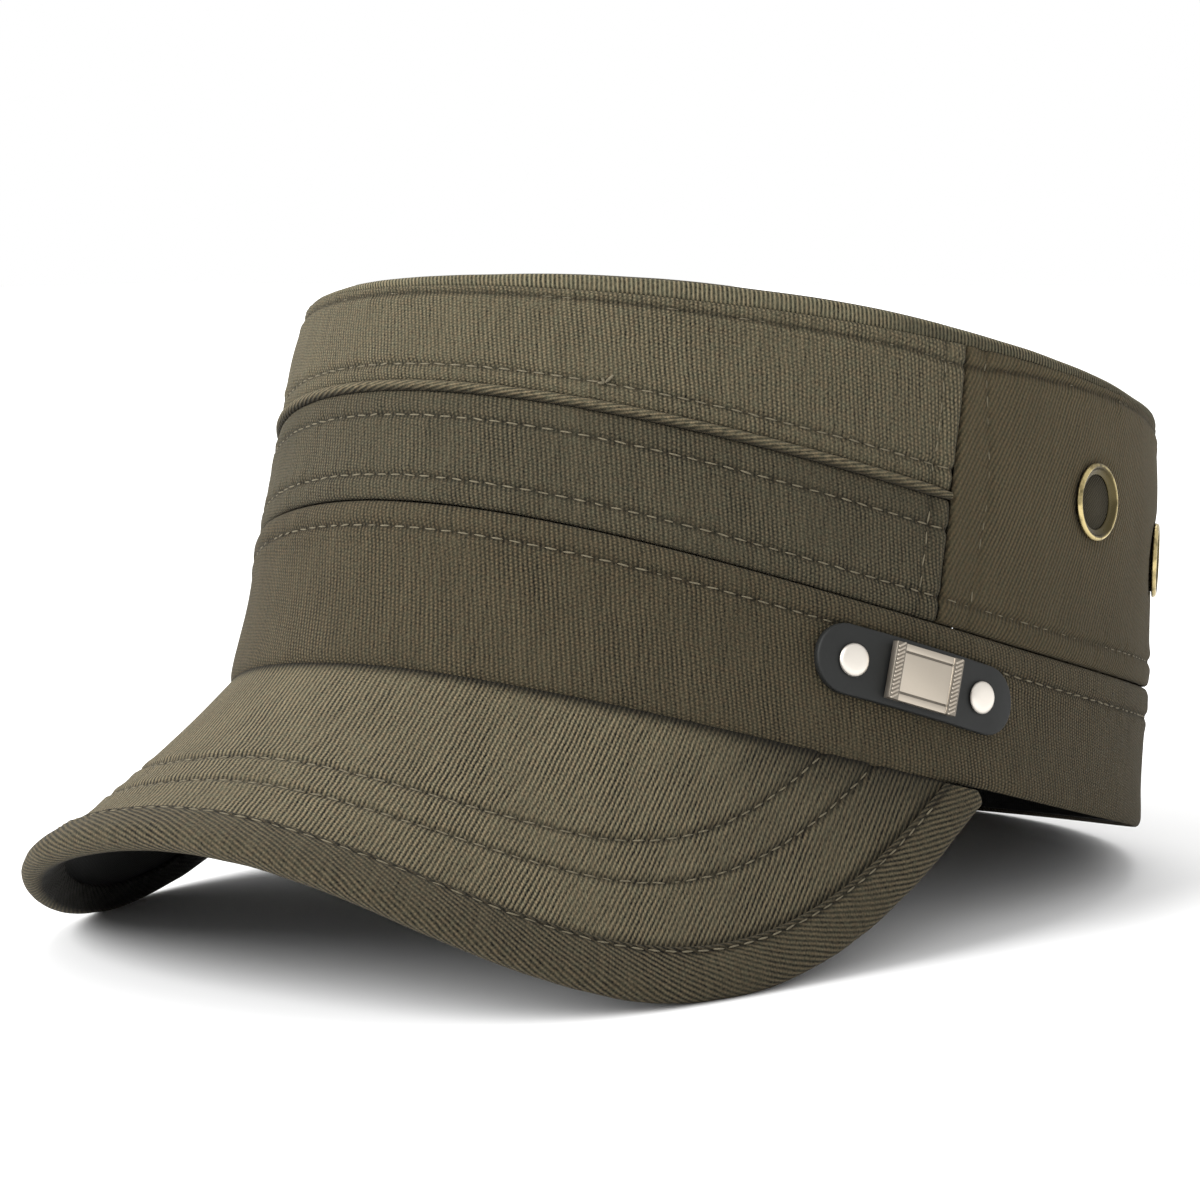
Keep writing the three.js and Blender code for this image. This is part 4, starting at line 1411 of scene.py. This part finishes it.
class TWILLCAP_OT_stitches(bpy.types.Operator):
    """Sew every seam of the crown and the peak"""

    bl_idname = "twillcap.stitches"
    bl_label = "Stitches"

    def execute(self, context):
        self.settings = context.scene.twillcap_thread
        seam = math.radians(SEAM_DEGREES - STITCH_DEGREES)
        back = math.radians(SEAM_DEGREES + STITCH_DEGREES)
        past_back = math.tau - back
        self.row("stitches_band", "band_twill", [wall_seam(BAND, BELOW_FOLD, 0, math.tau, 1400)])
        front = [wall_seam(LOWER_FRONT, ABOVE_FOLD, -seam, seam),
                 wall_seam(LOWER_FRONT, BELOW_PIPING, -seam, seam),
                 wall_seam(UPPER_FRONT, ABOVE_PIPING, -seam, seam)]
        behind = [wall_seam(BACK, ABOVE_FOLD, back, past_back, 1000)]
        for side, _ in SIDES:
            front.append(upright_seam(LOWER_FRONT, front_upright, side, 29.0, 44.5))
            front.append(upright_seam(UPPER_FRONT, front_upright, side, 50.0, 71.5))
            behind.append(upright_seam(BACK, back_upright, side, 29.0, 73.5))
        self.row("stitches_front", "crown_twill", front, loose_end=math.radians(27.7))
        self.row("stitches_back", "crown_twill", behind, sink=0.1)
        top = [wall_seam(UPPER_FRONT, top_stitch, -seam, seam),
               wall_seam(BACK, top_stitch, back, past_back, 1000)]
        self.row("stitches_top", "crown_twill", top, sink=0.19)
        self.row("stitches_peak", "peak_twill", [peak_seam(inside) for inside in PEAK_SEAMS])
        self.row("stitches_binding", "binding_twill", [binding_seam()])
        return {"FINISHED"}

    def row(self, name, slot, paths, sink=0.0, loose_end=None):
        mesh = bmesh.new()
        for path in paths:
            sew(mesh, path, self.settings, sink)
        if loose_end:
            self.tail(mesh, loose_end)
        finished(name, mesh, "thread")

    def tail(self, mesh, angle):
        """A knot of thread with two short ends, left standing on the seam above the piping"""
        height = ABOVE_PIPING(angle)
        thread = self.settings.thread / MM
        root, normal = UPPER_FRONT.face(angle, height)
        side = (wall_point(angle + 0.01, height) - wall_point(angle, height)).normalized()
        for across, rise, length in ((0.75, 0.8, 2.3), (-0.5, 0.75, 1.1), (-0.95, -0.15, 1.3)):
            along = (side * across + Vector((0, 0, rise)) + normal * 0.35).normalized()
            flat = along.cross(normal).normalized()
            middle = root + along * length / 2 + normal * 0.25
            add_thread(mesh, stand(middle, along, flat, along.cross(flat)),
                       (length / 2, thread * 0.8, thread * 0.6), 6)


class TWILLCAP_OT_stage(bpy.types.Operator):
    """Set up the floor, the lights and the camera"""

    bl_idname = "twillcap.stage"
    bl_label = "Stage"

    def execute(self, context):
        scene = context.scene
        stage = scene.twillcap_stage
        mesh = bmesh.new()
        bmesh.ops.create_grid(mesh, x_segments=2, y_segments=2, size=6.0)
        paper = Finish("pale floor", 0.9)
        paper.tint(paper.speckle(paper.own_place(), 3.0, 2.0), stage.floor_shade, 0.99, 1.0)
        add_mesh("floor", mesh, paper.material)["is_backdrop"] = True
        self.light("key", (-0.3827, -0.7334, 0.55), stage.key_power)
        self.light("back", (-0.365, 0.476, 0.8), stage.back_power)
        world = bpy.data.worlds.new("room")
        world.use_nodes = True
        background = world.node_tree.nodes["Background"]
        background.inputs["Color"].default_value = (1, 1, 1, 1)
        background.inputs["Strength"].default_value = stage.room
        scene.world = world
        scene.view_settings.view_transform = "Standard"
        scene.camera = self.camera(stage.lens)
        return {"FINISHED"}

    def light(self, name, way, power):
        """A broad soft light that comes from one way, as strong all over the floor"""
        data = bpy.data.lights.new(name, "SUN")
        data.angle = 0.7
        data.energy = power
        light = add_object(name, data)
        light.location = Vector(way) * 2
        light.rotation_euler = (-Vector(way)).to_track_quat("-Z", "Y").to_euler()

    def camera(self, lens):
        data = bpy.data.cameras.new("camera")
        data.lens = lens
        data.sensor_width = 36.0
        data.clip_start = 0.01
        camera = add_object("camera", data)
        place = (0.40869, -0.536114, 0.126494)
        right = (0.79416, 0.60765, -0.00856)
        up = (-0.05611, 0.08736, 0.9946)
        behind = (0.60511, -0.78939, 0.10347)
        camera.matrix_world = stand(place, right, up, behind)
        return camera


class TWILLCAP_PT_panel(bpy.types.Panel):
    """Lists the cap's settings and steps in the sidebar"""

    bl_idname = "TWILLCAP_PT_panel"
    bl_label = "Flat-top Cap"
    bl_space_type = "VIEW_3D"
    bl_region_type = "UI"
    bl_category = "Cap"

    def draw(self, context):
        layout = self.layout
        for settings in SETTINGS:
            group = getattr(context.scene, settings)
            column = layout.column(heading=settings.split("_")[1].title())
            for name in group.__annotations__:
                column.prop(group, name)
        for operator in OPERATORS:
            layout.operator(operator.bl_idname)


SETTINGS = {
    "twillcap_cloth": TWILLCAP_cloth,
    "twillcap_thread": TWILLCAP_thread,
    "twillcap_trim": TWILLCAP_trim,
    "twillcap_stage": TWILLCAP_stage,
}
OPERATORS = (
    TWILLCAP_OT_finishes, TWILLCAP_OT_head_band, TWILLCAP_OT_front_panels,
    TWILLCAP_OT_back_panels, TWILLCAP_OT_crown_top, TWILLCAP_OT_peak, TWILLCAP_OT_vents,
    TWILLCAP_OT_badge, TWILLCAP_OT_stitches, TWILLCAP_OT_stage)
CLASSES = (*SETTINGS.values(), *OPERATORS, TWILLCAP_PT_panel)


def register():
    for item in CLASSES:
        bpy.utils.register_class(item)
    for name, group in SETTINGS.items():
        setattr(bpy.types.Scene, name, bpy.props.PointerProperty(type=group))


def unregister():
    for name in SETTINGS:
        delattr(bpy.types.Scene, name)
    for item in reversed(CLASSES):
        bpy.utils.unregister_class(item)


def main():
    register()
    for operator in OPERATORS:
        family, step = operator.bl_idname.split(".")
        getattr(getattr(bpy.ops, family), step)()
    boxes = {"cad": CAD_BOX, "visual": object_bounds()}
    plain = {name: [list(corner) for corner in box] for name, box in boxes.items()}


if __name__ == "__main__":
    main()
